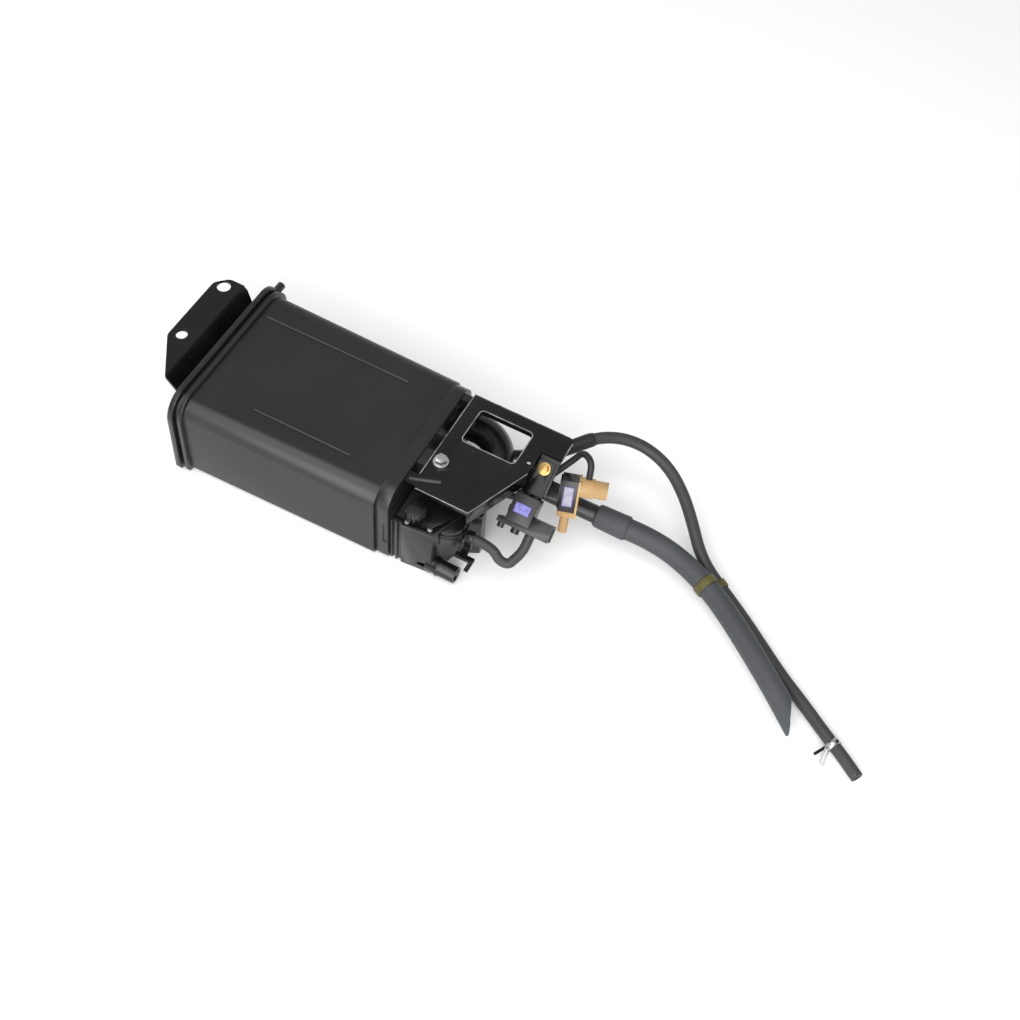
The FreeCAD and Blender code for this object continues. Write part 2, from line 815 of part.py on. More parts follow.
def right_bracket():
    bracket = body("RightBracketSheet")
    near_left = ("plateLeft + plateCornerTrim", "plateNear")
    tip = ("plateTip", "plateNear")
    slit_near = ("plateSlit", "slitNear")
    corners = [
        near_left, tip, slit_near,
        ("plateSlit", "tongueRoot"),
        ("plateRight", "tongueRoot"),
        ("plateRight", "plateFar"),
        ("plateLeft", "plateFar"),
        ("plateLeft", "tabFar"),
        (FRONT, "tabFar"),
        (FRONT, "tabNear"),
        ("plateLeft + plateCornerTrim", "tabNear"),
    ]
    plan = outline(bracket, "PlateOutline", "XY", corners, PLATE_FOOT)
    feature(bracket, "Pad", "PlatePad", plan, "plateSteel")
    past = size("past")
    rounded = lambda middle: middle.x > size("plateRight") - past and middle.y > size("tongueRoot") + past
    soften(bracket, "PlateCorners", "plateRound", UP, rounded)
    window = [("windowLeft", "windowNear"), ("windowRight", "windowNear"),
              ("windowRight", "windowFar"), ("windowLeft", "windowFar")]
    rim = [("windowLeft - plateSteel", "windowNear - plateSteel"),
           ("windowRight + plateSteel", "windowNear - plateSteel"),
           ("windowRight + plateSteel", "windowFar + plateSteel"),
           ("windowLeft - plateSteel", "windowFar + plateSteel")]
    rim_middle = size("plateTop") - size("plateSteel") - size("windowLip") / 2
    at_rim = lambda middle: abs(middle.z - rim_middle) < TINY
    rim_plan = outline(bracket, "RimOutline", "XY", rim, PLATE_FOOT)
    feature(bracket, "Pad", "WindowRim", rim_plan, "windowLip", True)
    soften(bracket, "RimCorners", "windowRound + plateSteel", UP, at_rim)
    feature(bracket, "Pocket", "Window",
            outline(bracket, "WindowOutline", "XY", window, "plateTop + past"),
            "plateSteel + windowLip + 2 * past")
    inside = lambda middle: (size("windowLeft") - past < middle.x < size("windowRight") + past
                             and size("windowNear") - past < middle.y < size("windowFar") + past)
    soften(bracket, "WindowCorners", "windowRound", UP, inside)
    far_left = ("plateLeft", "plateFar")
    far_right = ("plateRight - plateRound", "plateFar")
    for name, first, second, depth in (("Tip", tip, slit_near, "flangeDepth"),
                                       ("Near", near_left, tip, "nearFlangeDepth"),
                                       ("Far", far_right, far_left, "farFlangeDepth")):
        flange = outline(bracket, name + "Strip", "XY", strip(first, second, "plateSteel"), PLATE_FOOT)
        feature(bracket, "Pad", name + "Flange", flange, depth, True)
    bead = doc.addObject("Part::Cylinder", "PlateBead")
    bind(bead, Radius="beadRadius", Height="beadLength",
         Placement="placement(vector(beadAlong; beadAcross; plateTop - plateSteel / 2); "
                   "rotation(vector(0; 0; 1); beadAngle) * rotation(vector(0; 1; 0); 90))")
    bolt_hole = rod("PlateBoltHole", "Z", "boltRadius + boltFit", "plateSteel + 2 * past", "boltAlong",
                    "boltAcross", f"{PLATE_FOOT} - past")
    square = block("PlateSquareHole",
                   ("squareHoleAlong - squareHole / 2", "squareHoleAlong + squareHole / 2"),
                   ("squareHoleAcross - squareHole / 2", "squareHoleAcross + squareHole / 2"),
                   (f"{PLATE_FOOT} - past", "plateTop + past"))
    solid = join("RightBracketSolid", bracket, bead)
    name_piece(cut("RightBracket", solid, bolt_hole, square), "right_bracket")


# a hexagon bolt with a flat washer under its head, standing on a face at z = 0
def bolt(name, radius, length, head, head_height, washer, washer_thick):
    shank = rod(name + "Shank", "Z", f"{radius} - closeFit", length, "0", "0", f"-({length})")
    plate = rod(name + "Washer", "Z", washer, washer_thick, "0", "0", "0")
    hexagonal = hexagon(name + "Head", head, head_height, "Z", "0", "0", washer_thick)
    return join(name, shank, plate, hexagonal)


def bracket_bolt():
    silver = bolt("SilverBolt", "boltRadius", "boltLength", "boltHead", "boltHeadHeight", "washerRadius",
                  "washerThick")
    put(silver, "boltAlong", "boltAcross", "plateTop")
    name_piece(silver, "bracket_bolt")


# Frames of the sloped pieces

TONGUE_FRAME = ("placement(vector(0; tongueRoot; plateTop - plateSteel); "
                "rotation(vector(1; 0; 0); tongueSlope))")
SECOND_FRAME = ("placement(vector(secondAlong; secondAcross; secondHeight); "
                "rotation(vector(0; 0; 1); secondYaw) * rotation(vector(1; 0; 0); secondTilt))")


def valve_bracket():
    flat = block("TongueFlat", ("tongueLeft", "tongueRight"), ("tongueRoot", "tongueRoot + tongueLap"),
                 (f"{PLATE_FOOT} - tongueSteel", PLATE_FOOT))
    slope = local_block("TongueSlope", TONGUE_FRAME, ("tongueLeft", "tongueRight"),
                        ("-tongueLength", "0"), ("-tongueSteel", "0"))
    notch = local_rod("TongueNotch", TONGUE_FRAME, "Z", "notchRadius", "tongueSteel + 2 * past",
                      "(tongueLeft + tongueRight) / 2", "-tongueLength", "-tongueSteel - past")
    bolt_hole = local_rod("TongueBoltHole", TONGUE_FRAME, "Z", "yokeBoltRadius + closeFit",
                          "tongueSteel + 2 * past", "yokeBoltAlong", "-yokeBoltDown",
                          "-tongueSteel - past")
    sheet_metal = join("ValveBracketSheet", flat, slope)
    name_piece(cut("ValveBracket", sheet_metal, notch, bolt_hole), "valve_bracket")


# a box or cylinder given in a sloped frame: the inner shape is placed in the frame by a compound
def local_block(name, frame, x, y, z):
    return framed(name + "Placed", frame, block(name, x, y, z))


def local_rod(name, frame, axis, radius, length, x, y, z):
    return framed(name + "Placed", frame, rod(name, axis, radius, length, x, y, z))


def framed(name, frame, *shapes):
    holder = doc.addObject("Part::Compound", name)
    holder.Links = list(shapes)
    bind(holder, Placement=frame)
    return holder


# Air duct and air valve housing

DUCT_X = "(frontReach + ductRun)"
DUCT_Y = "(ductAcross - ductBend)"


def duct_elbow():
    layers = []
    for name, radius in (("Outer", "ductRadius"), ("Inner", "ductRadius - ductWall")):
        more = "0" if name == "Outer" else "past"
        run = rod(f"Duct{name}Run", "X", radius, f"ductRun + {more}", f"{FRONT} - {more}", "ductAcross",
                  "ductHeight")
        bend = doc.addObject("Part::Torus", f"Duct{name}Bend")
        bind(bend, Radius1="ductBend", Radius2=radius)
        bend.Angle3 = 90
        put(bend, DUCT_X, DUCT_Y, "ductHeight")
        leg = rod(f"Duct{name}Leg", "Y", radius, f"{DUCT_Y} - ductEnd + {more}", f"{DUCT_X} + ductBend",
                  f"ductEnd - {more}", "ductHeight")
        layers.append([run, bend, leg])
    flange = rod("DuctFlange", "X", "ductFlange", "ductFlangeThick", FRONT, "ductAcross", "ductHeight")
    purge = stub_at_angle("PurgeStub", "purgeStubRadius", "purgeStubAngle", "purgeStubLength + past",
                          "ductBend + ductRadius - past")
    purge_hole = stub_at_angle("PurgeStubHole", "purgeStubRadius - stubWall", "purgeStubAngle",
                               "purgeStubLength + ductRadius", "ductBend + past")
    vacuum = rod("VacuumStub", "X", "thinHoseBore - hoseSlip", "vacuumStubLength + past",
                 f"{DUCT_X} + ductBend + ductRadius - past", "vacuumStubAcross", "ductHeight")
    solid = join("DuctSolid", *layers[0], flange, purge, vacuum)
    name_piece(cut("Duct", solid, *layers[1], purge_hole), "duct_elbow")


# a cylinder that leaves the bend of the duct outwards at an angle to +X
def stub_at_angle(name, radius, angle, length, start):
    stub = doc.addObject("Part::Cylinder", name)
    bind(stub, Radius=radius, Height=length,
         Placement=f"placement(vector({DUCT_X} + ({start}) * cos({angle} * 1deg); "
                   f"{DUCT_Y} + ({start}) * sin({angle} * 1deg); ductHeight); "
                   f"rotation(vector(0; 0; 1); {angle}) * rotation(vector(0; 1; 0); 90))")
    return stub


HOUSING_PLAN = [
    (FRONT, "housingStep"), ("housingStepAt", "housingStep"), ("housingStepAt", "housingNear"),
    ("housingCorner", "housingCornerNear"), ("housingShoulder", "housingShoulderAcross"),
    ("housingRight", "housingRightAcross"), ("housingRight", "ductEnd"), (FRONT, "ductEnd"),
]


def plan_prism(name, corners, foot, top):
    solid = body(name)
    plan = outline(solid, name + "Plan", "XY", corners, foot)
    feature(solid, "Pad", name + "Pad", plan, f"({top}) - ({foot})")
    return solid


def valve_housing():
    outer = plan_prism("HousingOuter", HOUSING_PLAN, "housingFoot", "housingTop")
    wall = "housingWall"
    room = plan_prism("HousingRoom", [
        (f"{FRONT} + {wall}", f"housingStep + {wall}"),
        (f"housingStepAt + {wall}", f"housingStep + {wall}"),
        (f"housingStepAt + {wall}", f"housingNear + {wall}"),
        (f"housingCorner - {wall}", f"housingCornerNear + {wall}"),
        ("housingShoulder - slantInset", "housingShoulderAcross + slantInset / 2"),
        ("housingShoulder - slantInset", f"ductEnd - {wall}"),
        (f"{FRONT} + {wall}", f"ductEnd - {wall}"),
    ], f"housingFoot + {wall}", "housingTop + past")
    socket = block("HousingSocket", (f"{DUCT_X} + ductBend - socketHalf", "housingRight"),
                   ("ductEnd - socketDepth", "ductEnd"), ("ductHeight - socketReach", "socketTop"))
    socket_bore = rod("HousingSocketBore", "Y", "ductRadius - ductWall", "socketBoreDepth",
                      f"{DUCT_X} + ductBend", "ductEnd + past - socketBoreDepth", "ductHeight")
    ribs = [block(f"HousingRib{number}", (place, f"{place} + ribWidth"),
                  ("housingStep - ribProud", "housingStep + past"), ("housingFoot", "housingTop"))
            for number, place in enumerate((f"{FRONT} + ribInset", f"{FRONT} + ribInset + ribPitch"), 1)]
    cup = rod("HousingCup", "Z", "discRadius + cupWall", "housingTop - discFoot + cupWall", "discAlong",
              "discAcross", "discFoot - cupWall")
    cup_limit = plan_prism("HousingCupLimit", HOUSING_PLAN, "housingFoot", "housingTop")
    cup_trimmed = doc.addObject("Part::MultiCommon", "HousingCupTrimmed")
    cup_trimmed.Shapes = [cup, cup_limit]
    recess = rod("HousingRecess", "Z", "discRadius + hoseFit", "housingTop", "discAlong", "discAcross",
                 "discFoot")
    nozzle = rod("Nozzle", "X", "nozzleRadius", "nozzleLength + nozzleSink", "nozzleRoot - nozzleSink",
                 "nozzleAcross", "nozzleHeight")
    collar = rod("NozzleCollar", "X", "nozzleRadius + collarProud", "collarWidth", "nozzleRoot",
                 "nozzleAcross", "nozzleHeight")
    bore = rod("NozzleBore", "X", "nozzleBore", "nozzleLength + nozzleBoreSink + past",
               "nozzleRoot - nozzleBoreSink", "nozzleAcross", "nozzleHeight")
    posts = []
    post_holes = []
    for number, (along, across) in enumerate(LID_SCREWS, 1):
        posts.append(rod(f"LidPost{number}", "Z", "lidPostRadius", "lidScrewDepth + lidPostFoot", along,
                         across, "housingTop - lidScrewDepth - lidPostFoot"))
        post_holes.append(rod(f"LidPostHole{number}", "Z", "lidScrewRadius + closeFit",
                              "lidScrewDepth + past", along, across, "housingTop - lidScrewDepth"))
    hollowed = cut("HousingHollowed", join("HousingSolid", outer, socket, *ribs), room)
    whole = join("HousingWhole", hollowed, cup_trimmed, nozzle, collar, *posts)
    name_piece(cut("Housing", whole, recess, bore, socket_bore, *post_holes), "valve_housing")


LID_PLAN = [
    ("housingStepAt", "housingNear - lidOverhang"),
    ("housingCorner + lidOverhang", "housingCornerNear - lidOverhang"),
    ("housingShoulder + lidOverhang", "housingShoulderAcross"), ("housingShoulder - lidTrim", "lidFar"),
    ("housingStepAt", "lidFar"),
]


LID_SCREWS = [
    ("housingStepAt + lidScrewInset", "housingNear + lidScrewInset"),
    ("housingCorner - lidScrewInset", "housingCornerNear + lidScrewInset"),
]


def housing_lid():
    plate = plan_prism("LidPlate", LID_PLAN, "housingTop", "housingTop + lidThick")
    stem = rod("LidStem", "Z", "capStemRadius", "capStemHeight + past", "capAlong", "capAcross",
               "housingTop + lidThick - past")
    bore = rod("LidStemBore", "Z", "capStemRadius - stubWall", "capStemHeight + lidThick + 2 * past",
               "capAlong", "capAcross", "housingTop - past")
    holes = [rod(f"LidHole{number}", "Z", "lidScrewRadius + closeFit", "lidThick + 2 * past", along, across,
                 "housingTop - past") for number, (along, across) in enumerate(LID_SCREWS, 1)]
    name_piece(cut("Lid", join("LidSolid", plate, stem), bore, *holes), "housing_lid")


def lid_screws():
    screws = []
    for number, (along, across) in enumerate(LID_SCREWS, 1):
        shank = rod(f"LidShank{number}", "Z", "lidScrewRadius", "lidScrewDepth + lidThick", along, across,
                    "housingTop - lidScrewDepth")
        head = rod(f"LidHead{number}", "Z", "lidScrewHead", "lidHeadHeight", along, across,
                   "housingTop + lidThick")
        screws.append(join(f"LidScrew{number}", shank, head))
    name_piece(group("LidScrews", *screws), "lid_screws")


CAP_RIBS = 14


# a round cap with short upright ribs all round
def vent_cap():
    foot = "housingTop + lidThick + capStemHeight"
    crown = rod("CapCrown", "Z", "capRadius - capRibProud", "capHeight", "capAlong", "capAcross", foot)
    ribs = []
    for number in range(CAP_RIBS):
        turn = 360 / CAP_RIBS * number
        rib = doc.addObject("Part::Box", f"CapRib{number + 1}")
        bind(rib, Length="capRadius", Width="capRibWidth", Height="capHeight - capRibProud",
             Placement=f"placement(vector(capAlong; capAcross; {foot}); rotation(vector(0; 0; 1); {turn}))")
        ribs.append(rib)
    name_piece(join("VentCap", crown, *ribs), "vent_cap")


def air_filter():
    filter_block = block("AirFilter",
                         (f"{FRONT} + housingWall + fitGap", "discAlong - discRadius - filterClear"),
                         ("housingStep + housingWall + filterClear", "ductEnd - housingWall - filterClear"),
                         ("housingFoot + housingWall", "housingTop - fitGap"))
    name_piece(filter_block, "air_filter")


def disc_rod(name, radius, foot, height):
    return rod(name, "Z", radius, height, "discAlong", "discAcross", foot)


DISC_SEAM = "(discFoot + discCaseHeight)"
COVER_FOOT = "(discFoot + discCaseHeight + membrane)"
COVER_TOP = "(discFoot + discCaseHeight + membrane + discCoverHeight)"


def diaphragm_chamber():
    case = disc_rod("DiscCase", "discRadius", "discFoot", "discCaseHeight")
    case_room = disc_rod("DiscCaseRoom", "discRadius - discRoomInset", "discFoot + discWall",
                         "discCaseHeight")
    port = rod("DiscPort", "X", "shortHoseBore - hoseSlip", "discPortLength + past",
               "discAlong + discRadius - past", "discAcross", "discPortHeight")
    port_bore = rod("DiscPortBore", "X", "shortHoseBore - stubWall", "discPortLength + discPortSink + past",
                    "discAlong + discRadius - discPortSink", "discAcross", "discPortHeight")
    name_piece(cut("DiaphragmCase", join("DiscCaseSolid", case, port), case_room, port_bore),
               "diaphragm_case")
    name_piece(disc_rod("Diaphragm", "discRadius - membraneInset", DISC_SEAM, "membrane"), "diaphragm")
    flange = disc_rod("DiscCoverFlange", "discRadius", COVER_FOOT, "discRim")
    dome = disc_rod("DiscCoverDome", "discRadius - discDomeInset", COVER_FOOT, "discCoverHeight")
    cover_room = disc_rod("DiscCoverRoom", "discRadius - discRoomInset", f"{COVER_FOOT} - past",
                          "discCoverHeight + past - discWall")
    name_piece(cut("DiaphragmCover", join("DiscCoverSolid", flange, dome), cover_room), "diaphragm_cover")
    spring = coil("DiaphragmSpring", "discSpringRadius", "discSpringWire", "2 * discSpringWire",
                  "discCoverHeight - discWall - discSpringWire", "Z",
                  "discAlong", "discAcross", f"{COVER_FOOT} + discSpringWire / 2")
    name_piece(spring, "diaphragm_spring")


# Solenoid valves. Their pieces are made in the valve's own frame and then placed.

VALVE_AXIS = "(-valveDeep / 2)"
SEAT = "(valveDeep + yokeSteel)"


def centred(width):
    return (f"-({width}) / 2", f"({width}) / 2")


def place_in(frame, label, shape):
    return name_piece(framed(shape.Name + "Placed", frame, shape), label)


# a cylinder on the long axis of a valve
def axial(name, radius, foot, top):
    return rod(name, "Y", radius, f"({top}) - ({foot})", "0", foot, VALVE_AXIS)


def valve_core(name, word, frame, width, tall):
    foot = f"(-{tall} / 2)"
    ceiling = f"({tall} / 2 - valveShell)"
    core_foot = f"({ceiling} - coreLength)"
    plunger_top = f"({core_foot} - plungerStroke)"
    pocket_foot = f"({plunger_top} - plungerPocket)"
    shell = block(f"{name}Shell", centred(width), centred(tall), ("-valveDeep", "0"))
    room = axial(f"{name}Room", "coilOuter + closeFit", f"{foot} - past", ceiling)
    place_in(frame, f"{word}_coil_housing", cut(f"{name}Housing", shell, room))
    winding = axial(f"{name}Winding", "coilOuter", foot, ceiling)
    bore = axial(f"{name}WindingBore", "coilInner", f"{foot} - past", f"{ceiling} + past")
    place_in(frame, f"{word}_coil", cut(f"{name}Coil", winding, bore))
    place_in(frame, f"{word}_core", axial(f"{name}Core", "coilInner - closeFit", core_foot, ceiling))
    plunger = axial(f"{name}PlungerRod", "plungerRadius", f"{foot} + seatTall", plunger_top)
    pocket = axial(f"{name}PlungerPocket", "pocketRadius", pocket_foot, f"{plunger_top} + past")
    place_in(frame, f"{word}_plunger", cut(f"{name}Plunger", plunger, pocket))
    spring = coil(f"{name}Spring", "pocketRadius - plungerWire", "plungerWire", "plungerPitch",
                  "plungerPocket + plungerStroke - plungerWire", "Y",
                  "0", f"{pocket_foot} + plungerWire / 2", VALVE_AXIS)
    place_in(frame, f"{word}_spring", spring)


# the seat that the plunger rests on, and the passage below it
def valve_seat(name, tall):
    foot = f"(-{tall} / 2)"
    seat = axial(f"{name}Seat", "seatBore + seatWall", f"{foot} - past", f"{foot} + seatTall")
    passage = axial(f"{name}Passage", "seatBore", f"{foot} - portBlockTall - past",
                    f"{foot} + seatTall + past")
    return seat, passage


FIRST_PORT_FOOT = "(-firstTall / 2 - portBlockTall)"


# side, radius and length of each stub below the first valve
FIRST_STUBS = [
    (-1, "portStubRadius", "portStubLength"),
    (0, "portStubRadius + stubStep", "portStubLength"),
    (1, "shortHoseBore - hoseSlip", "hoseGrip"),
]


def first_valve():
    valve_core("First", "valve_1", FIRST_FRAME, "firstWidth", "firstTall")
    seat, passage = valve_seat("First", "firstTall")
    foot = FIRST_PORT_FOOT
    right = "(firstWidth / 2)"
    bar = block("FirstPortBar", centred("firstPortWidth"), (foot, "-firstTall / 2"),
                ("stubWall - valveDeep", "-stubWall"))
    stubs = []
    bores = [passage]
    for number, (side, radius, length) in enumerate(FIRST_STUBS, 1):
        across = f"{side} * firstStubPitch"
        stubs.append(rod(f"FirstStub{number}", "Y", radius, f"{length} + past", across,
                         f"{foot} - {length}", VALVE_AXIS))
        bores.append(rod(f"FirstStubBore{number}", "Y", "stubBore", f"{length} + 2 * past", across,
                         f"{foot} - {length} - past", VALVE_AXIS))
    plug = block("FirstConnector", (right, f"{right} + connectorLength"),
                 (foot, f"{foot} + connectorTall"), ("stubWall - valveDeep", "-stubWall"))
    socket = block("FirstSocket",
                   (f"{right} + connectorLength - socketRoom", f"{right} + connectorLength + past"),
                   (f"{foot} + stubWall", f"{foot} + connectorTall - stubWall"),
                   ("2 * stubWall - valveDeep", "-2 * stubWall"))
    solid = join("FirstPortSolid", bar, seat, plug, *stubs)
    place_in(FIRST_FRAME, "valve_1_port_block", cut("FirstPortBlock", solid, socket, *bores))
    label = block("FirstLabel", centred("firstLabelWidth"), centred("firstLabelTall"), ("0", "labelThick"))
    place_in(FIRST_FRAME, "valve_1_label", label)


# a strap on the tongue under the first valve, with a cheek beside its housing and a hood above it
def first_yoke():
    left = "(-firstWidth / 2)"
    top = "(firstTall / 2)"
    strap = block("FirstStrap", (left, f"{left} + strapWidth"), (f"-{top}", "firstDown - strapGap"),
                  (f"-{SEAT}", "-valveDeep"))
    cheek = block("FirstCheek", (f"{left} - yokeSteel", left), ("-firstTall / 4", "0"),
                  (f"-{SEAT}", "-cheekDrop"))
    hood = block("FirstHood", (left, f"{left} + strapWidth"), (top, f"{top} + yokeSteel"),
                 (f"-{SEAT}", "-hoodDrop"))
    notch = rod("FirstNotch", "Y", "notchRadius", "yokeSteel + 2 * past", f"{left} + strapWidth / 2",
                f"{top} - past", "-hoodDrop")
    hole = rod("FirstBoltHole", "Z", "yokeBoltRadius + closeFit", "yokeSteel + 2 * past",
               "yokeBoltAlong - firstAlong", "firstDown - yokeBoltDown", f"-{SEAT} - past")
    yoke = cut("FirstYoke", join("FirstYokeSolid", strap, cheek, hood), hole, notch)
    place_in(FIRST_FRAME, "valve_1_yoke", yoke)


def on_tongue(along, down, rise):
    slope = "tongueSlope * 1deg"
    return (f"placement(vector({along}; "
            f"tongueRoot - {down} * cos({slope}) - {rise} * sin({slope}); "
            f"{PLATE_FOOT} - {down} * sin({slope}) + {rise} * cos({slope})); "
            "rotation(vector(1; 0; 0); tongueSlope))")


FIRST_FRAME = on_tongue("firstAlong", "firstDown", SEAT)


def yoke_bolt():
    yellow = bolt("YellowBolt", "yokeBoltRadius", "yokeBoltLength", "yokeBoltHead", "yokeBoltHeight",
                  "yokeWasherRadius", "yokeWasherThick")
    bind(yellow, Placement=on_tongue("yokeBoltAlong", "yokeBoltDown", "yokeSteel"))
    name_piece(yellow, "valve_bolt")


SECOND_PORT_FOOT = "(-secondTall / 2 - portBlockTall)"
SECOND_RIGHT = "(secondWidth / 2)"
NIPPLE_ALONG = "(secondWidth / 2 + flangeSteel + bossLength / 2)"


def second_valve():
    valve_core("Second", "valve_2", SECOND_FRAME, "secondWidth", "secondTall")
    seat, passage = valve_seat("Second", "secondTall")
    foot = SECOND_PORT_FOOT
    right = SECOND_RIGHT
    lower = block("SecondPortBar", (f"-{right}", f"{right} + flangeSteel"), (foot, "-secondTall / 2"),
                  ("-valveDeep", "0"))
    flange = block("SecondFlange", (right, f"{right} + flangeSteel"),
                   (foot, "secondTall / 2 + flangeProud"), ("-valveDeep", "flangeProud"))
    boss = rod("SecondBoss", "X", "bossRound", "bossLength + flangeSteel", right, "plugHeight", VALVE_AXIS)
    plug = rod("SecondPlug", "X", "plugRadius", "bossLength + plugLength", right, "plugHeight", VALVE_AXIS)
    nozzle = axial("SecondNozzle", "lowNozzleRadius", f"{foot} - lowNozzleLength", f"{foot} + past")
    nozzle_bore = axial("SecondNozzleBore", "lowNozzleRadius - stubWall",
                        f"{foot} - lowNozzleLength - past", foot)
    nipple = rod("SecondNipple", "Y", "thinHoseBore - hoseSlip", "hoseGrip + bossRound", NIPPLE_ALONG,
                 "plugHeight", VALVE_AXIS)
    plug_bore = rod("SecondPlugBore", "X", "plugRadius - stubWall", "plugLength",
                    f"{right} + bossLength + flangeSteel", "plugHeight", VALVE_AXIS)
    solid = join("SecondPortSolid", lower, flange, boss, plug, nozzle, nipple, seat)
    port_block = cut("SecondPortBlock", solid, plug_bore, nozzle_bore, passage)
    place_in(SECOND_FRAME, "valve_2_port_block", port_block)
    label = block("SecondLabel", centred("secondLabelWidth"), centred("secondLabelTall"),
                  ("0", "labelThick"))
    place_in(SECOND_FRAME, "valve_2_label", label)


# a folded strap from under the tongue to the left side of the second valve
def second_yoke():
    side_face = "(-secondWidth / 2 - closeFit)"
    side = local_block("SecondSide", SECOND_FRAME, (f"{side_face} - yokeSteel", side_face),
                       ("-secondTall / 2 + sideInset", "secondTall / 2 - sideInset"),
                       ("-valveDeep", "-sideInset / 2"))
    link = local_block("SecondLink", TONGUE_FRAME, ("tongueRight - linkLap", "tongueRight + linkReach"),
                       ("sideInset - tongueLength", "-tongueLength / 2"),
                       ("-tongueSteel - yokeSteel", "-tongueSteel"))
    room = local_block("SecondSideRoom", SECOND_FRAME, (side_face, "secondWidth"),
                       ("-secondTall", "secondTall"), ("-2 * valveDeep", "valveDeep"))
    name_piece(cut("SecondYoke", join("SecondYokeSolid", side, link), room), "valve_2_yoke")


# Pipes and hoses

def drain_pipe():
    length = f"drainPipeEnd - {FRONT}"
    outer = rod("DrainPipeOuter", "X", "drainPipeRadius", length, FRONT, "drainPipeAcross",
                "drainPipeHeight")
    inner = rod("DrainPipeBore", "X", "drainPipeRadius - drainPipeWall", f"{length} + 2 * past",
                f"{FRONT} - past", "drainPipeAcross", "drainPipeHeight")
    name_piece(cut("DrainPipe", outer, inner), "drain_pipe")


# straight runs joined by tangent arcs, each as large as its two runs allow
def route(points, name):
    edges = []
    radii = []
    here = points[0]
    for before, corner, after in zip(points, points[1:], points[2:]):
        back = before - corner
        ahead = after - corner
        turn = math.pi - back.getAngle(ahead)
        reach = ARC_SHARE * min(back.Length, ahead.Length)
        radius = reach / math.tan(turn / 2)
        back.normalize()
        ahead.normalize()
        bisector = back + ahead
        bisector.normalize()
        first = corner + back * reach
        last = corner + ahead * reach
        middle = corner + bisector * (radius / math.cos(turn / 2) - radius)
        edges.append(Part.LineSegment(here, first).toShape())
        edges.append(Part.Arc(first, middle, last).toShape())
        radii.append(round(radius))
        here = last
    edges.append(Part.LineSegment(here, points[-1]).toShape())
    print(name, "arc radii", radii)
    return Part.Wire(edges)


# a tube along a path: a straight length for each line and a turned one for each arc
def sweep_along(path, radius, bore=0):
    lengths = []
    for edge in path.OrderedEdges:
        start = edge.valueAt(edge.FirstParameter)
        direction = edge.tangentAt(edge.FirstParameter)
        disc = Part.Face(Part.Wire(Part.makeCircle(radius, start, direction)))
        if bore:
            disc = disc.cut(Part.Face(Part.Wire(Part.makeCircle(bore, start, direction))))
        if edge.Curve.TypeId == "Part::GeomLine":
            lengths.append(disc.extrude(direction * edge.Length))
        else:
            angle = math.degrees(edge.Length / edge.Curve.Radius)
            lengths.append(disc.revolve(edge.Curve.Center, edge.Curve.Axis, angle))
    whole = lengths[0].multiFuse(lengths[1:]).removeSplitter()
    return whole.Solids[0]


# the part of a path between two distances from its start
def stretch(path, start, end):
    edges = []
    travelled = 0
    for edge in path.OrderedEdges:
        first = max(start - travelled, 0)
        last = min(end - travelled, edge.Length)
        if last - first > TINY:
            ends = [edge.getParameterByLength(distance) for distance in (first, last)]
            edges.append(edge.Curve.toShape(*ends))
        travelled += edge.Length
    return Part.Wire(edges)


def shaped(name, label, shape):
    thing = doc.addObject("Part::Feature", name)
    thing.Shape = shape
    return name_piece(thing, label)


def tube(name, label, points, radius, bore=0):
    path = route(points, label)
    shape = sweep_along(path, radius, bore)
    area = math.pi * (radius ** 2 - bore ** 2)
    print(label, "volume over section times length", round(shape.Volume / (area * path.Length), 4))
    return path, shaped(name, label, shape)


# the point and direction at a distance along a path
def along(path, distance):
    for edge in path.OrderedEdges:
        if distance <= edge.Length:
            at = edge.getParameterByLength(distance)
            return edge.valueAt(at), edge.tangentAt(at)
        distance -= edge.Length
    raise ValueError("the path is shorter than that")


# a ring round a hose, centred on one point of its route
def ring(path, distance, inner, outer, width):
    centre, direction = along(path, distance)
    start = centre - direction * (width / 2)
    solid = Part.makeCylinder(outer, width, start, direction)
    if inner:
        solid = solid.cut(Part.makeCylinder(inner, width, start, direction))
    return solid


# Points of the hoses' routes. X is measured from the canister's front face and Y from its middle.
# The two long hoses lie on the table, so their heights are measured from it, and those of the two
# short hoses from the canister's top.
PURGE_ROUTE = [
    (103.5, 78.5, 60.5), (119.2, 98.4, 62.4), (140.3, 111.7, 59.9), (164, 116.6, 53.6), (188, 112, 45.5),
    (210, 97, 38), (229, 77, 31), (244, 60, 23), (260, 48.5, 16), (281, 37.5, 12), (305, 23.5, 9.6),
    (331, 6, 8.2), (358, -13, 7.5), (385, -29, 7.2), (411, -46, 7.3), (431, -57.5, 7.2), (449, -70, 7.3),
]
DRAIN_ROUTE = [
    (198, 44.5, 28.5), (223, 43.5, 25), (247, 37.5, 22), (271, 27, 20.5), (295, 12, 19.6),
    (320, -6, 18.6), (345, -24.5, 17.2), (368, -42.5, 15.8), (389, -60, 14.5),
]
SHORT_ROUTE = [(90, -46, -46.5), (97.5, -49.5, -51.5), (106, -48.5, -53)]
THIN_ROUTE = [(92, 14, -30), (99, 29, -26), (107, 42, -19), (115.5, 51, -9), (122, 55, 3)]


def vectors(points, lift=0):
    front = size("frontReach")
    return [Vector(front + along_x, across, height + lift) for along_x, across, height in points]


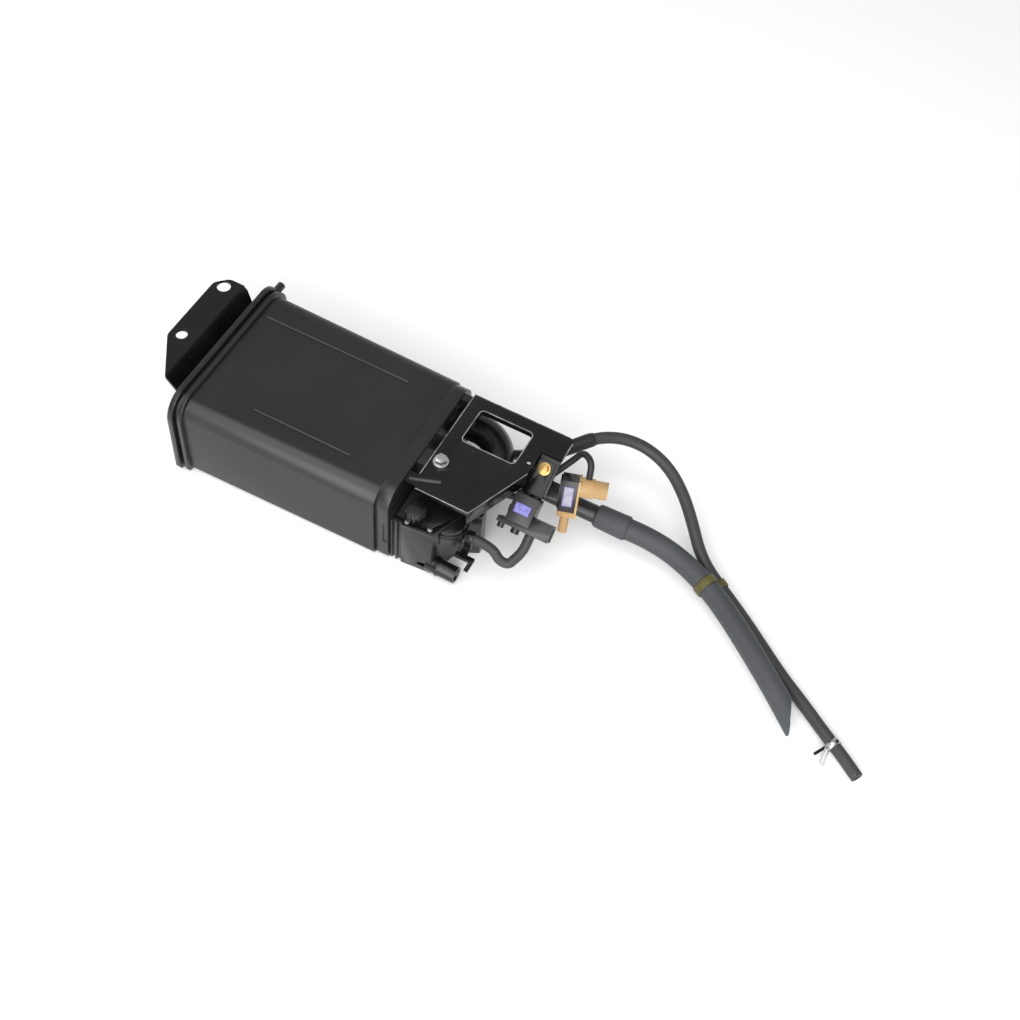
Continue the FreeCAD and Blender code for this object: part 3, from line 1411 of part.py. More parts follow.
def purge_hose():
    turn = math.radians(size("purgeStubAngle"))
    reach = size("ductBend") + size("ductRadius") + size("purgeStubLength")
    centre_x = size("frontReach") + size("ductRun")
    centre_y = size("ductAcross") - size("ductBend")
    start = Vector(centre_x + reach * math.cos(turn), centre_y + reach * math.sin(turn), size("ductHeight"))
    straight = start + Vector(math.cos(turn), math.sin(turn), 0) * size("firstRun")
    points = [start, straight, *vectors(PURGE_ROUTE)]
    path, hose = tube("PurgeHose", "purge_hose", points, size("purgeHoseRadius"))
    covered = stretch(path, size("sleeveStart"), size("sleeveEnd"))
    sleeve = sweep_along(covered, size("sleeveRadius"), size("purgeHoseRadius") + size("hoseFit"))
    shaped("PurgeSleeve", "purge_sleeve", sleeve)
    clamp_at = path.Length - size("clampFromEnd")
    clamp = wire_clamp(path, clamp_at, size("purgeHoseRadius") + size("hoseFit"), size("clampSteel"),
                       size("clampWidth"))
    shaped("PurgeClamp", "purge_clamp", clamp)
    return path


# a spring clamp: a band with two ears that are bent up from it
def wire_clamp(path, distance, inner, steel, width):
    centre, direction = along(path, distance)
    band = ring(path, distance, inner, inner + steel, width)
    side = direction.cross(UP)
    side.normalize()
    shapes = [band]
    for sign, rise in ((-1, size("clampEarLow")), (1, size("clampEarHigh"))):
        ear = Part.makeBox(width / 2, steel, rise)
        turn = Rotation(direction, side, UP, "ZXY")
        ear.Placement = Placement(Vector(-width / 4 + sign * width / 4, -steel / 2, inner), Rotation())
        ear.Placement = Placement(centre, turn).multiply(ear.Placement)
        shapes.append(ear)
    return shapes[0].multiFuse(shapes[1:])


def drain_hose():
    start = Vector(size("drainPipeEnd"), size("drainPipeAcross"), size("drainPipeHeight"))
    points = [start, start + Vector(size("firstRun"), 0, 0), *vectors(DRAIN_ROUTE)]
    path = route(points, "drain_hose")
    shape = sweep_along(path, size("drainHoseRadius"))
    area = math.pi * size("drainHoseRadius") ** 2
    print("drain_hose volume over section times length", round(shape.Volume / (area * path.Length), 4))
    end, direction = along(path, path.Length - TINY)
    cutter = slanted_cutter(end, direction, size("drainHoseRadius"), size("slantLength"))
    shaped("DrainHose", "drain_hose", shape.cut(cutter))
    return path


# a wedge that slants the end of a hose: the far side is cut back, the near side is the tip
def slanted_cutter(end, direction, radius, slant):
    side = direction.cross(UP)
    side.normalize()
    tip = end + side * (radius - size("slantFlat"))
    back = end - side * radius - direction * slant
    slope = tip - back
    beyond = direction * (2 * slant)
    corners = [tip + slope, back - slope, back - slope + beyond, tip + slope + beyond]
    lift = UP * (2 * radius)
    face = Part.Face(Part.makePolygon([point - lift for point in [*corners, corners[0]]]))
    return face.extrude(lift * 2)


def hose_band(purge_path, drain_path):
    width = size("bandWidth")
    loops = []
    for path, distance, radius in ((drain_path, size("bandOnDrain"), size("drainHoseRadius")),
                                   (purge_path, size("bandOnPurge"), size("purgeHoseRadius"))):
        loops.append((path, distance, radius + size("hoseFit")))
        print("hose_band loop at", along(path, distance)[0])
    first, second = [ring(*loop, loop[-1] + size("bandThick"), width) for loop in loops]
    band = first.fuse(second)
    for path, distance, bore in loops:
        band = band.cut(ring(path, distance, 0, bore, 3 * width))
    shaped("HoseBand", "hose_band", band)


def short_hose():
    frame = doc.getObject("FirstPortBlockPlaced").Placement
    axis = -size("valveDeep") / 2
    foot = -size("firstTall") / 2 - size("portBlockTall") - size("hoseFit")
    end = frame.multVec(Vector(size("firstStubPitch"), foot, axis))
    before = frame.multVec(Vector(size("firstStubPitch"), foot - 2 * size("hoseGrip"), axis))
    start = Vector(size("discAlong") + size("discRadius") + size("hoseFit"), size("discAcross"),
                   size("discPortHeight"))
    after = start + ALONG * 2 * size("hoseGrip")
    middle = vectors(SHORT_ROUTE, size("canHeight"))
    tube("ShortHose", "short_hose", [start, after, *middle, before, end], size("shortHoseRadius"),
         size("shortHoseBore"))


def vacuum_hose():
    frame = doc.getObject("SecondPortBlockPlaced").Placement
    axis = -size("valveDeep") / 2
    nipple_along = size("secondWidth") / 2 + size("flangeSteel") + size("bossLength") / 2
    top = size("plugHeight") + size("bossRound") + size("hoseFit")
    end = frame.multVec(Vector(nipple_along, top, axis))
    before = frame.multVec(Vector(nipple_along, top + 2 * size("hoseGrip"), axis))
    start_along = size("frontReach") + size("ductRun") + size("ductBend") + size("ductRadius")
    start = Vector(start_along + size("hoseFit"), size("vacuumStubAcross"), size("ductHeight"))
    after = start + ALONG * 2 * size("hoseGrip")
    middle = vectors(THIN_ROUTE, size("canHeight"))
    tube("VacuumHose", "vacuum_hose", [start, after, *middle, before, end], size("thinHoseRadius"),
         size("thinHoseBore"))


# the black clip that holds the start of the short hose, with a plate and a tang below it
def short_hose_clip():
    inner = "shortHoseRadius + clipGap"
    start = "discAlong + discRadius + clipStart"
    band = rod("ClipBand", "X", f"{inner} + clipSteel", "clipWidth", start, "discAcross", "discPortHeight")
    bore = rod("ClipBore", "X", inner, "clipWidth + 2 * past", f"{start} - past", "discAcross",
               "discPortHeight")
    web = block("ClipWeb", (start, f"{start} + clipWidth"),
                ("discAcross - clipWebReach", "discAcross - shortHoseRadius"),
                ("discPortHeight - clipWebFoot", "discPortHeight - clipWebTop"))
    drop = block("ClipDrop", (start, f"{start} + clipWidth"),
                 ("discAcross - shortHoseRadius - clipDropSteel", "discAcross - shortHoseRadius"),
                 ("discPortHeight - clipWebFoot", "discPortHeight"))
    plate = block("ClipPlate", (f"{start} - clipPlateBack", f"{start} + clipPlateAhead"),
                  ("discAcross - clipPlateNear", "discAcross - clipPlateFar"),
                  ("discPortHeight - clipPlateFoot", "discPortHeight - clipWebTop"))
    tang = block("ClipTang",
                 (f"{start} + clipPlateAhead - clipTangWidth", f"{start} + clipPlateAhead"),
                 ("discAcross - clipTangReach", "discAcross - clipPlateNear + past"),
                 ("discPortHeight - clipPlateFoot", "discPortHeight - clipWebFoot"))
    solid = join("ClipSolid", band, web, drop, plate, tang)
    name_piece(cut("ShortHoseClip", solid, bore), "short_hose_clip")


def main():
    canister_case()
    rear_cover()
    front_cover()
    charcoal_side(NEAR, "Near", "near")
    charcoal_side(FAR, "Far", "far")
    left_bracket()
    left_bracket_screws()
    right_bracket()
    bracket_bolt()
    valve_bracket()
    duct_elbow()
    valve_housing()
    housing_lid()
    lid_screws()
    vent_cap()
    air_filter()
    diaphragm_chamber()
    first_valve()
    first_yoke()
    yoke_bolt()
    second_valve()
    second_yoke()
    drain_pipe()
    doc.recompute()
    purge_path = purge_hose()
    drain_path = drain_hose()
    hose_band(purge_path, drain_path)
    short_hose()
    vacuum_hose()
    short_hose_clip()
    finish()


def finish():
    doc.recompute()
    for item in doc.Objects:
        if "Invalid" in item.State or "Error" in item.State:
            raise RuntimeError(f"{item.Name} failed: {item.State}")
    for piece in pieces:
        if piece.Shape.isNull() or not piece.Shape.isValid() or not piece.Shape.Solids:
            raise RuntimeError(f"{piece.Label} has no valid solid")
    os.makedirs("parts", exist_ok=True)
    for piece in pieces:
        piece.Shape.exportStep(f"parts/{piece.Label}.step")
        print(piece.Label, len(piece.Shape.Solids), round(piece.Shape.Volume))


main()
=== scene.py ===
# charcoal canister with its brackets, valves and hoses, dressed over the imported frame
import math
import bmesh
import bpy
from mathutils import Matrix, Vector


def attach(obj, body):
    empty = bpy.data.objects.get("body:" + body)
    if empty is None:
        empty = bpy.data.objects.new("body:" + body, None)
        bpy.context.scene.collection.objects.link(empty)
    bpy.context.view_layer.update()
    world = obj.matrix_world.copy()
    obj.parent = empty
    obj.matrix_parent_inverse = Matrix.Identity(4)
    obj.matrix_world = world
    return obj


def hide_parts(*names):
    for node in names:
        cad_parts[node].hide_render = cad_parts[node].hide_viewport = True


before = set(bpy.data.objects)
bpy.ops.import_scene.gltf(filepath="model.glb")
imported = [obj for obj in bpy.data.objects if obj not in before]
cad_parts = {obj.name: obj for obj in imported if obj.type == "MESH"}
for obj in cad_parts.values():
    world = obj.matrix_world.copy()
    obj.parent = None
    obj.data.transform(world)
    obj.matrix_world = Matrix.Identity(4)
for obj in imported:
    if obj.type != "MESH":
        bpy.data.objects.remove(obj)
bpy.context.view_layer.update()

# sizes and places below are in millimetres, and mm turns them into Blender's metres
mm = 0.001
scene = bpy.context.scene
up = Vector((0, 0, 1))

# camera, set where the photo was taken from

cameraSettings = {
    "place": (471.6, -695.3, 1147.8),
    "lookAt": (189.5, -1.8, 45),
    "roll": 6.76,  # degrees
    "lens": 52.94,
    "sensor": 36,
    "farClip": 20,  # metres
}


def placeCamera(s):
    data = bpy.data.cameras.new("camera")
    data.lens = s["lens"]
    data.sensor_width = s["sensor"]
    data.clip_end = s["farClip"]
    camera = bpy.data.objects.new("camera", data)
    place = Vector(s["place"])
    turn = (Vector(s["lookAt"]) - place).to_track_quat("-Z", "Y").to_matrix().to_4x4()
    roll = Matrix.Rotation(math.radians(s["roll"]), 4, "Z")
    camera.matrix_world = Matrix.Translation(place * mm) @ turn @ roll
    scene.collection.objects.link(camera)
    scene.camera = camera


placeCamera(cameraSettings)
print("camera placed")

# shader groups that several finishes share

patchSettings = {"detail": 3.0, "roughness": 0.55, "low": 0.35, "high": 0.65}
grainSettings = {"detail": 4.0, "roughness": 0.6, "depth": 0.2}
speckSettings = {"detail": 2.0, "roughness": 0.5, "low": 0.66, "high": 0.76}
mixSockets = {"amount": 0, "first": 6, "second": 7, "mixed": 2}  # the Mix node's sockets for colours


def newGroup(name, inputs, outputs):
    group = bpy.data.node_groups.new(name, "ShaderNodeTree")
    for label, kind, value in inputs:
        socket = group.interface.new_socket(label, in_out="INPUT", socket_type="NodeSocket" + kind)
        socket.default_value = value
    for label, kind in outputs:
        group.interface.new_socket(label, in_out="OUTPUT", socket_type="NodeSocket" + kind)
    return group, group.nodes.new("NodeGroupInput"), group.nodes.new("NodeGroupOutput")


def node(tree, kind, **settings):
    made = tree.nodes.new("ShaderNode" + kind)
    for key, value in settings.items():
        setattr(made, key, value)
    return made


def noise(tree, scale, s):
    made = node(tree, "TexNoise")
    made.inputs["Detail"].default_value = s["detail"]
    made.inputs["Roughness"].default_value = s["roughness"]
    tree.links.new(node(tree, "TexCoord").outputs["Object"], made.inputs["Vector"])
    tree.links.new(scale, made.inputs["Scale"])
    return made.outputs["Fac"]


def stretchRange(tree, field, s):
    # what lies below low becomes 0, and what lies above high becomes 1
    made = node(tree, "MapRange")
    made.inputs["From Min"].default_value = s["low"]
    made.inputs["From Max"].default_value = s["high"]
    tree.links.new(field, made.inputs["Value"])
    return made


def mixColours(tree, amount, first, second):
    made = node(tree, "Mix", data_type="RGBA")
    tree.links.new(amount, made.inputs[mixSockets["amount"]])
    tree.links.new(first, made.inputs[mixSockets["first"]])
    tree.links.new(second, made.inputs[mixSockets["second"]])
    return made.outputs[mixSockets["mixed"]]


def buildPatches(s):
    # slow changes of colour and gloss over a surface
    group, given, result = newGroup("patches", [
        ("Colour A", "Color", (0.03, 0.03, 0.03, 1)), ("Colour B", "Color", (0.04, 0.04, 0.04, 1)),
        ("Size", "Float", 12.0), ("Rough Low", "Float", 0.35), ("Rough High", "Float", 0.5),
    ], [("Colour", "Color"), ("Roughness", "Float")])
    links = group.links
    mask = stretchRange(group, noise(group, given.outputs["Size"], s), s).outputs[0]
    mixed = mixColours(group, mask, given.outputs["Colour A"], given.outputs["Colour B"])
    links.new(mixed, result.inputs["Colour"])
    gloss = node(group, "MapRange")
    links.new(mask, gloss.inputs["Value"])
    links.new(given.outputs["Rough Low"], gloss.inputs["To Min"])
    links.new(given.outputs["Rough High"], gloss.inputs["To Max"])
    links.new(gloss.outputs[0], result.inputs["Roughness"])
    return group


def buildGrain(s):
    # the fine texture of a moulded, coated or rubber surface
    group, given, result = newGroup("grain", [
        ("Size", "Float", 900.0), ("Height", "Float", 0.15),
    ], [("Normal", "Vector")])
    links = group.links
    bump = node(group, "Bump")
    bump.inputs["Distance"].default_value = s["depth"] * mm
    links.new(given.outputs["Height"], bump.inputs["Strength"])
    links.new(noise(group, given.outputs["Size"], s), bump.inputs["Height"])
    links.new(bump.outputs["Normal"], result.inputs["Normal"])
    return group


def buildSpecks(s):
    # sparse pale specks of dust and rubbing
    group, given, result = newGroup("specks", [
        ("Colour", "Color", (0.03, 0.03, 0.03, 1)), ("Speck Colour", "Color", (0.2, 0.2, 0.2, 1)),
        ("Size", "Float", 300.0), ("Amount", "Float", 0.1),
    ], [("Colour", "Color")])
    links = group.links
    peaks = stretchRange(group, noise(group, given.outputs["Size"], s), s)
    links.new(given.outputs["Amount"], peaks.inputs["To Max"])
    mixed = mixColours(group, peaks.outputs[0], given.outputs["Colour"], given.outputs["Speck Colour"])
    links.new(mixed, result.inputs["Colour"])
    return group


patches, grain, specks = buildPatches(patchSettings), buildGrain(grainSettings), buildSpecks(speckSettings)
print("shader groups built")

# each finish has two colours, the size of its patches, two roughness values, the size and height of
# its grain, the colour and amount of its specks, and where it needs them its metal and specular

finishes = {
    "satinPlastic": {"a": (0.0075, 0.0077, 0.0082), "b": (0.011, 0.0112, 0.0118), "size": 9,
                     "rough": (0.30, 0.38), "grain": 1500, "height": 0.10, "specular": 0.5,
                     "speck": (0.08, 0.08, 0.08), "specks": 0.12},
    "housingPlastic": {"a": (0.004, 0.004, 0.0044), "b": (0.008, 0.008, 0.0084), "size": 30,
                       "rough": (0.24, 0.36), "grain": 1300, "height": 0.12, "specular": 0.5,
                       "speck": (0.1, 0.1, 0.1), "specks": 0.15},
    "blackCoat": {"a": (0.002, 0.002, 0.0022), "b": (0.004, 0.004, 0.0044), "size": 25,
                  "rough": (0.20, 0.30), "grain": 900, "height": 0.15, "specular": 0.38,
                  "speck": (0.08, 0.08, 0.075), "specks": 0.15},
    # pale grey standing for the light that rims and bends catch: a painted highlight
    "paintedHighlightEdge": {"a": (0.30, 0.30, 0.29), "b": (0.10, 0.10, 0.10), "size": 90, "rough": (0.30, 0.45),
                   "grain": 900, "height": 0.2, "specular": 0.5, "speck": (0.5, 0.5, 0.48), "specks": 0.4},
    # paler than the case's own plastic: a painted highlight on the top's raised ribs
    "paintedHighlightRidge": {"a": (0.055, 0.055, 0.057), "b": (0.04, 0.04, 0.042), "size": 40, "rough": (0.32, 0.45),
                  "grain": 1500, "height": 0.1, "specular": 0.5, "speck": (0.1, 0.1, 0.1), "specks": 0.2},
    "brightZinc": {"a": (0.62, 0.63, 0.62), "b": (0.48, 0.49, 0.48), "size": 180, "rough": (0.22, 0.38),
                   "grain": 1600, "height": 0.15, "metal": 1.0, "speck": (0.3, 0.3, 0.28), "specks": 0.3},
    "yellowZinc": {"a": (0.50, 0.32, 0.11), "b": (0.36, 0.23, 0.09), "size": 180, "rough": (0.25, 0.40),
                   "grain": 1600, "height": 0.15, "metal": 0.8, "speck": (0.65, 0.5, 0.3), "specks": 0.3},
    "tanNylon": {"a": (0.44, 0.275, 0.12), "b": (0.37, 0.225, 0.09), "size": 60, "rough": (0.38, 0.52),
                 "grain": 1200, "height": 0.12, "specular": 0.5, "speck": (0.75, 0.5, 0.25),
                 "specks": 0.15},
    "paleLabel": {"a": (0.34, 0.32, 0.40), "b": (0.24, 0.22, 0.30), "size": 260, "rough": (0.4, 0.5),
                  "grain": 2500, "height": 0.05, "speck": (0.5, 0.5, 0.55), "specks": 0.4},
    "violetLabel": {"a": (0.22, 0.21, 0.50), "b": (0.11, 0.10, 0.36), "size": 260, "rough": (0.35, 0.45),
                    "grain": 2500, "height": 0.05, "speck": (0.5, 0.5, 0.7), "specks": 0.5},
    "darkViolet": {"a": (0.045, 0.038, 0.14), "b": (0.035, 0.030, 0.10), "size": 120,
                   "rough": (0.35, 0.45), "grain": 2500, "height": 0.05, "speck": (0.2, 0.2, 0.3),
                   "specks": 0.2},
    "hoseRubber": {"a": (0.030, 0.030, 0.030), "b": (0.042, 0.042, 0.041), "size": 22,
                   "rough": (0.48, 0.62), "grain": 1100, "height": 0.25, "speck": (0.12, 0.12, 0.12),
                   "specks": 0.25},
    "blackRubber": {"a": (0.010, 0.010, 0.011), "b": (0.016, 0.016, 0.017), "size": 22,
                    "rough": (0.42, 0.58), "grain": 1100, "height": 0.25, "speck": (0.08, 0.08, 0.08),
                    "specks": 0.2},
    "drainRubber": {"a": (0.042, 0.045, 0.050), "b": (0.056, 0.060, 0.066), "size": 18,
                    "rough": (0.55, 0.68), "grain": 900, "height": 0.30, "speck": (0.16, 0.16, 0.17),
                    "specks": 0.25},
    "oliveBand": {"a": (0.085, 0.078, 0.018), "b": (0.062, 0.058, 0.014), "size": 80,
                  "rough": (0.45, 0.6), "grain": 1400, "height": 0.2, "speck": (0.2, 0.19, 0.08),
                  "specks": 0.2},
    "charcoalGrain": {"a": (0.008, 0.008, 0.008), "b": (0.02, 0.02, 0.02), "size": 400,
                      "rough": (0.7, 0.9), "grain": 500, "height": 1.0, "speck": (0.06, 0.06, 0.06),
                      "specks": 0.6},
    "felt": {"a": (0.62, 0.60, 0.54), "b": (0.50, 0.48, 0.43), "size": 200, "rough": (0.85, 0.95),
             "grain": 1800, "height": 0.8, "speck": (0.3, 0.28, 0.25), "specks": 0.4},
    "palePlastic": {"a": (0.58, 0.57, 0.52), "b": (0.52, 0.51, 0.46), "size": 60, "rough": (0.35, 0.5),
                    "grain": 1500, "height": 0.1, "speck": (0.4, 0.4, 0.4), "specks": 0.1},
    "copperWire": {"a": (0.55, 0.22, 0.09), "b": (0.42, 0.15, 0.06), "size": 300, "rough": (0.25, 0.4),
                   "grain": 700, "height": 0.5, "metal": 1.0, "speck": (0.3, 0.1, 0.05), "specks": 0.2},
}


def makeFinish(name, s):
    material = bpy.data.materials.new(name)
    material.use_nodes = True
    tree = material.node_tree
    shader = tree.nodes["Principled BSDF"]
    slow = node(tree, "Group", node_tree=patches)
    slow.inputs["Colour A"].default_value = (*s["a"], 1)
    slow.inputs["Colour B"].default_value = (*s["b"], 1)
    slow.inputs["Size"].default_value = s["size"]
    slow.inputs["Rough Low"].default_value, slow.inputs["Rough High"].default_value = s["rough"]
    fine = node(tree, "Group", node_tree=grain)
    fine.inputs["Size"].default_value = s["grain"]
    fine.inputs["Height"].default_value = s["height"]
    dust = node(tree, "Group", node_tree=specks)
    dust.inputs["Speck Colour"].default_value = (*s["speck"], 1)
    dust.inputs["Amount"].default_value = s["specks"]
    tree.links.new(slow.outputs["Colour"], dust.inputs["Colour"])
    tree.links.new(dust.outputs["Colour"], shader.inputs["Base Color"])
    tree.links.new(slow.outputs["Roughness"], shader.inputs["Roughness"])
    tree.links.new(fine.outputs["Normal"], shader.inputs["Normal"])
    shader.inputs["Metallic"].default_value = s.get("metal", 0.0)
    shader.inputs["Specular IOR Level"].default_value = s.get("specular", 0.4)
    return material


finish = {name: makeFinish(name, s) for name, s in finishes.items()}
print("finishes made:", len(finish))

# tools for meshes

# an edge that turns by more than angle, in degrees, is rounded or kept sharp
softSettings = {"angle": 25, "segments": 2}
# how near to each other points are merged: of a copied solid, of a tube and at a cut
mergeSettings = {"solid": 0.002, "tube": 0.01, "cut": 0.001}


def showMesh(name, bm, material):
    mesh = bpy.data.meshes.new(name)
    bm.to_mesh(mesh)
    bm.free()
    mesh.materials.append(finish[material])
    piece = bpy.data.objects.new(name, mesh)
    scene.collection.objects.link(piece)
    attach(piece, "root")
    return piece


def smooth(piece, width=None):
    # smooth faces, with edges rounded to the given width or else left sharp
    for face in piece.data.polygons:
        face.use_smooth = True
    if width:
        bevel = piece.modifiers.new("softEdges", "BEVEL")
        bevel.width = width * mm
        bevel.segments = softSettings["segments"]
        bevel.profile = 0.5
        bevel.limit_method = "ANGLE"
        bevel.angle_limit = math.radians(softSettings["angle"])
        bevel.harden_normals = True
        bevel.use_clamp_overlap = True
    else:
        piece.data.set_sharp_from_angle(angle=math.radians(softSettings["angle"]))
    return piece


def giveWall(piece, wall):
    thick = piece.modifiers.new("wall", "SOLIDIFY")
    thick.thickness = wall * mm
    thick.offset = -1
    thick.use_even_offset = False
    return piece


def mergePoints(bm, kind):
    bmesh.ops.remove_doubles(bm, verts=bm.verts, dist=mergeSettings[kind] * mm)


def faceOutwards(bm):
    bmesh.ops.recalc_face_normals(bm, faces=bm.faces)


def copyNode(name):
    bm = bmesh.new()
    bm.from_mesh(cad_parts[name].data)
    mergePoints(bm, "solid")
    return bm


def pieceName(name):
    first, *others = name.split("_")
    return first + "".join(word.title() for word in others)


def turnTo(direction):
    return Vector(direction).to_track_quat("Z", "Y").to_matrix().to_4x4()


def addBlock(bm, place, sizes):
    stretch = Matrix.Diagonal((*[size * mm for size in sizes], 1))
    bmesh.ops.create_cube(bm, size=1, matrix=place @ stretch)


def skinRings(bm, rings, sides):
    # circles at the given places and radii, joined into one skin
    loops = []
    for place, radius in rings:
        made = bmesh.ops.create_circle(bm, segments=sides, radius=radius * mm, matrix=place)
        loops.append(list({edge for vert in made["verts"] for edge in vert.link_edges}))
    for first, second in zip(loops, loops[1:]):
        bmesh.ops.bridge_loops(bm, edges=first + second)


# tools for lines, and for tubes along them

tubeSettings = {"steps": 10, "sides": 10}


def lineCurve(name, points, radius=0.0):
    curve = bpy.data.curves.new(name, "CURVE")
    curve.dimensions = "3D"
    curve.resolution_u = tubeSettings["steps"]
    spline = curve.splines.new("NURBS")
    spline.points.add(len(points) - 1)
    for corner, point in zip(spline.points, points):
        corner.co = (*[value * mm for value in point], 1)
    spline.order_u = 3
    spline.use_endpoint_u = True
    curve.bevel_depth = radius * mm
    curve.bevel_resolution = tubeSettings["sides"]
    return curve


def curveMesh(curve):
    holder = bpy.data.objects.new(curve.name, curve)
    scene.collection.objects.link(holder)
    mesh = bpy.data.meshes.new_from_object(holder.evaluated_get(bpy.context.evaluated_depsgraph_get()))
    bpy.data.objects.remove(holder)
    return mesh


def tubeMesh(name, lines, radius):
    bm = bmesh.new()
    for points in lines:
        bm.from_mesh(curveMesh(lineCurve(name, points, radius)))
    mergePoints(bm, "tube")
    return bm


def buildWires(name, lines, radius, material):
    # round bars along the lines, closed at their ends
    bm = tubeMesh(name, lines, radius)
    bmesh.ops.holes_fill(bm, edges=bm.edges, sides=0)
    faceOutwards(bm)
    return smooth(showMesh(name, bm, material))


def routeLine(points):
    mesh = curveMesh(lineCurve("line", points))
    return [vert.co.copy() for vert in mesh.vertices]


def runLength(line):
    return sum((b - a).length for a, b in zip(line, line[1:]))


def alongLine(line, distance):
    # the point and the direction at a distance from the line's start
    left = distance * mm
    for a, b in zip(line, line[1:]):
        step = (b - a).length
        if left <= step:
            return a.lerp(b, left / step), (b - a).normalized()
        left -= step
    return line[-1].copy(), (line[-1] - line[-2]).normalized()


def nearestDistance(line, point):
    # how far along the line its nearest step to the point lies
    found = []
    travelled = 0.0
    for a, b in zip(line, line[1:]):
        step = (b - a).length
        found.append((((a + b) / 2 - point).length, travelled + step / 2))
        travelled += step
    return min(found)[1] / mm


# rigid pieces over the solids, with the widths that their edges are rounded to

dressed = {
    "canister_case": ("satinPlastic", 0.3), "rear_cover": ("satinPlastic", 0.6),
    "front_cover": ("satinPlastic", 0.6), "right_bracket": ("blackCoat", 0.6),
    "valve_bracket": ("blackCoat", 0.4), "valve_1_yoke": ("blackCoat", 0.3),
    "valve_2_yoke": ("blackCoat", 0.3), "short_hose_clip": ("blackCoat", 0.3),
    "valve_housing": ("housingPlastic", 0.5), "housing_lid": ("housingPlastic", 0.6),
    "vent_cap": ("housingPlastic", 0.3), "duct_elbow": ("housingPlastic", 0.4),
    "diaphragm_cover": ("housingPlastic", 0.5), "valve_1_coil_housing": ("housingPlastic", 0.8),
    "valve_1_port_block": ("housingPlastic", 0.4), "valve_2_coil_housing": ("housingPlastic", 0.7),
    "valve_2_port_block": ("tanNylon", 0.4), "bracket_bolt": ("brightZinc", 0.4),
    "valve_bolt": ("yellowZinc", 0.4), "left_bracket_screws": ("brightZinc", 0.4),
    "lid_screws": ("brightZinc", 0.2), "drain_pipe": ("housingPlastic", 0.4),
}


def dress(name, material, width=None):
    # a copy of a rigid piece whose moulded or folded edges catch the light
    piece = showMesh(pieceName(name), copyNode(name), material)
    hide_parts(name)
    return smooth(piece, width)


for name, (material, width) in dressed.items():
    dress(name, material, width)
foldedSheet = dress("left_bracket", "blackCoat")
foldedSheet.data.shade_flat()  # its shallow fold shows best with flat faces

labels = {
    "valve_1_label": {"rim": "darkViolet", "field": "violetLabel", "inset": 0.8},
    "valve_2_label": {"rim": "darkViolet", "field": "paleLabel", "inset": 1.4},
}
frontFace = {"alike": 0.99, "depth": 0.1}  # how alike in direction its triangles are, and how level


def dressLabel(name, s):
    # a plain field of colour inside a rim of another colour
    bm = copyNode(name)
    largest = max(bm.faces, key=lambda face: face.calc_area())
    middle, outward = largest.calc_center_median(), largest.normal.copy()
    front = [face for face in bm.faces if face.normal.dot(outward) > frontFace["alike"]
             and abs((face.calc_center_median() - middle).dot(outward)) < frontFace["depth"] * mm]
    joined = bmesh.ops.dissolve_faces(bm, faces=front)["region"]
    bmesh.ops.inset_individual(bm, faces=joined, thickness=s["inset"] * mm)
    for face in joined:
        face.material_index = 1
    piece = showMesh(pieceName(name), bm, s["rim"])
    piece.data.materials.append(finish[s["field"]])
    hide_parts(name)
    return smooth(piece)


for name, s in labels.items():
    dressLabel(name, s)

repainted = {
    "diaphragm_case": "housingPlastic",
    "diaphragm": "blackRubber", "diaphragm_spring": "brightZinc", "air_filter": "charcoalGrain",
    "charcoal_bed_near": "charcoalGrain", "charcoal_bed_far": "charcoalGrain",
    "rear_pad_near": "felt", "rear_pad_far": "felt", "front_pad_near": "felt", "front_pad_far": "felt",
    "grid_plate_near": "palePlastic", "grid_plate_far": "palePlastic",
    "bed_spring_near": "brightZinc", "bed_spring_far": "brightZinc",
    "valve_1_coil": "copperWire", "valve_2_coil": "copperWire",
    "valve_1_core": "brightZinc", "valve_2_core": "brightZinc",
    "valve_1_plunger": "brightZinc", "valve_2_plunger": "brightZinc",
    "valve_1_spring": "brightZinc", "valve_2_spring": "brightZinc",
    "short_hose": "hoseRubber", "vacuum_hose": "blackRubber",
}


def repaint(name, material):
    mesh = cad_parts[name].data
    mesh.materials.clear()
    mesh.materials.append(finish[material])


for name, material in repainted.items():
    repaint(name, material)
print("rigid pieces dressed:", len(dressed) + 1, "repainted:", len(repainted))

# painted highlights on edges and raised lines: thin pale pieces on the sheet metal and on the canister,
# whose colour stands in for the light that bends, rims and ribs catch

windowSettings = {"low": (129.5, 14), "high": (181.5, 52), "foot": 89.8, "width": 1.0, "height": 0.5,
                  "round": 5, "roundSteps": 6, "soft": 0.2}


def buildWindowRim(s):
    # the rounded bend round the window, a raised bead whose pale grey is a painted highlight
    bm = bmesh.new()
    left, near = [value - s["width"] for value in s["low"]]
    right, far = [value + s["width"] for value in s["high"]]
    corners = [(left, near), (right, near), (right, far), (left, far)]
    bm.faces.new([bm.verts.new((x * mm, y * mm, s["foot"] * mm)) for x, y in corners])
    bmesh.ops.bevel(bm, geom=bm.verts[:], offset=s["round"] * mm, segments=s["roundSteps"], profile=0.5,
                    affect="VERTICES", material=-1)
    opening = bm.faces[:]
    bmesh.ops.inset_region(bm, faces=opening, thickness=s["width"] * mm, use_boundary=True)
    bmesh.ops.delete(bm, geom=opening, context="FACES_ONLY")
    raised = bmesh.ops.extrude_face_region(bm, geom=bm.faces[:])["geom"]
    lifted = [part for part in raised if isinstance(part, bmesh.types.BMVert)]
    bmesh.ops.translate(bm, vec=(0, 0, s["height"] * mm), verts=lifted)
    faceOutwards(bm)
    return smooth(showMesh("windowRim", bm, "paintedHighlightEdge"), s["soft"])


ridgeSettings = {"width": 1.6, "height": 0.3, "foot": 90.7, "soft": 0.1,
                 "ridges": [{"start": -92, "length": 150, "across": 46},
                            {"start": -44, "length": 99, "across": -50}]}
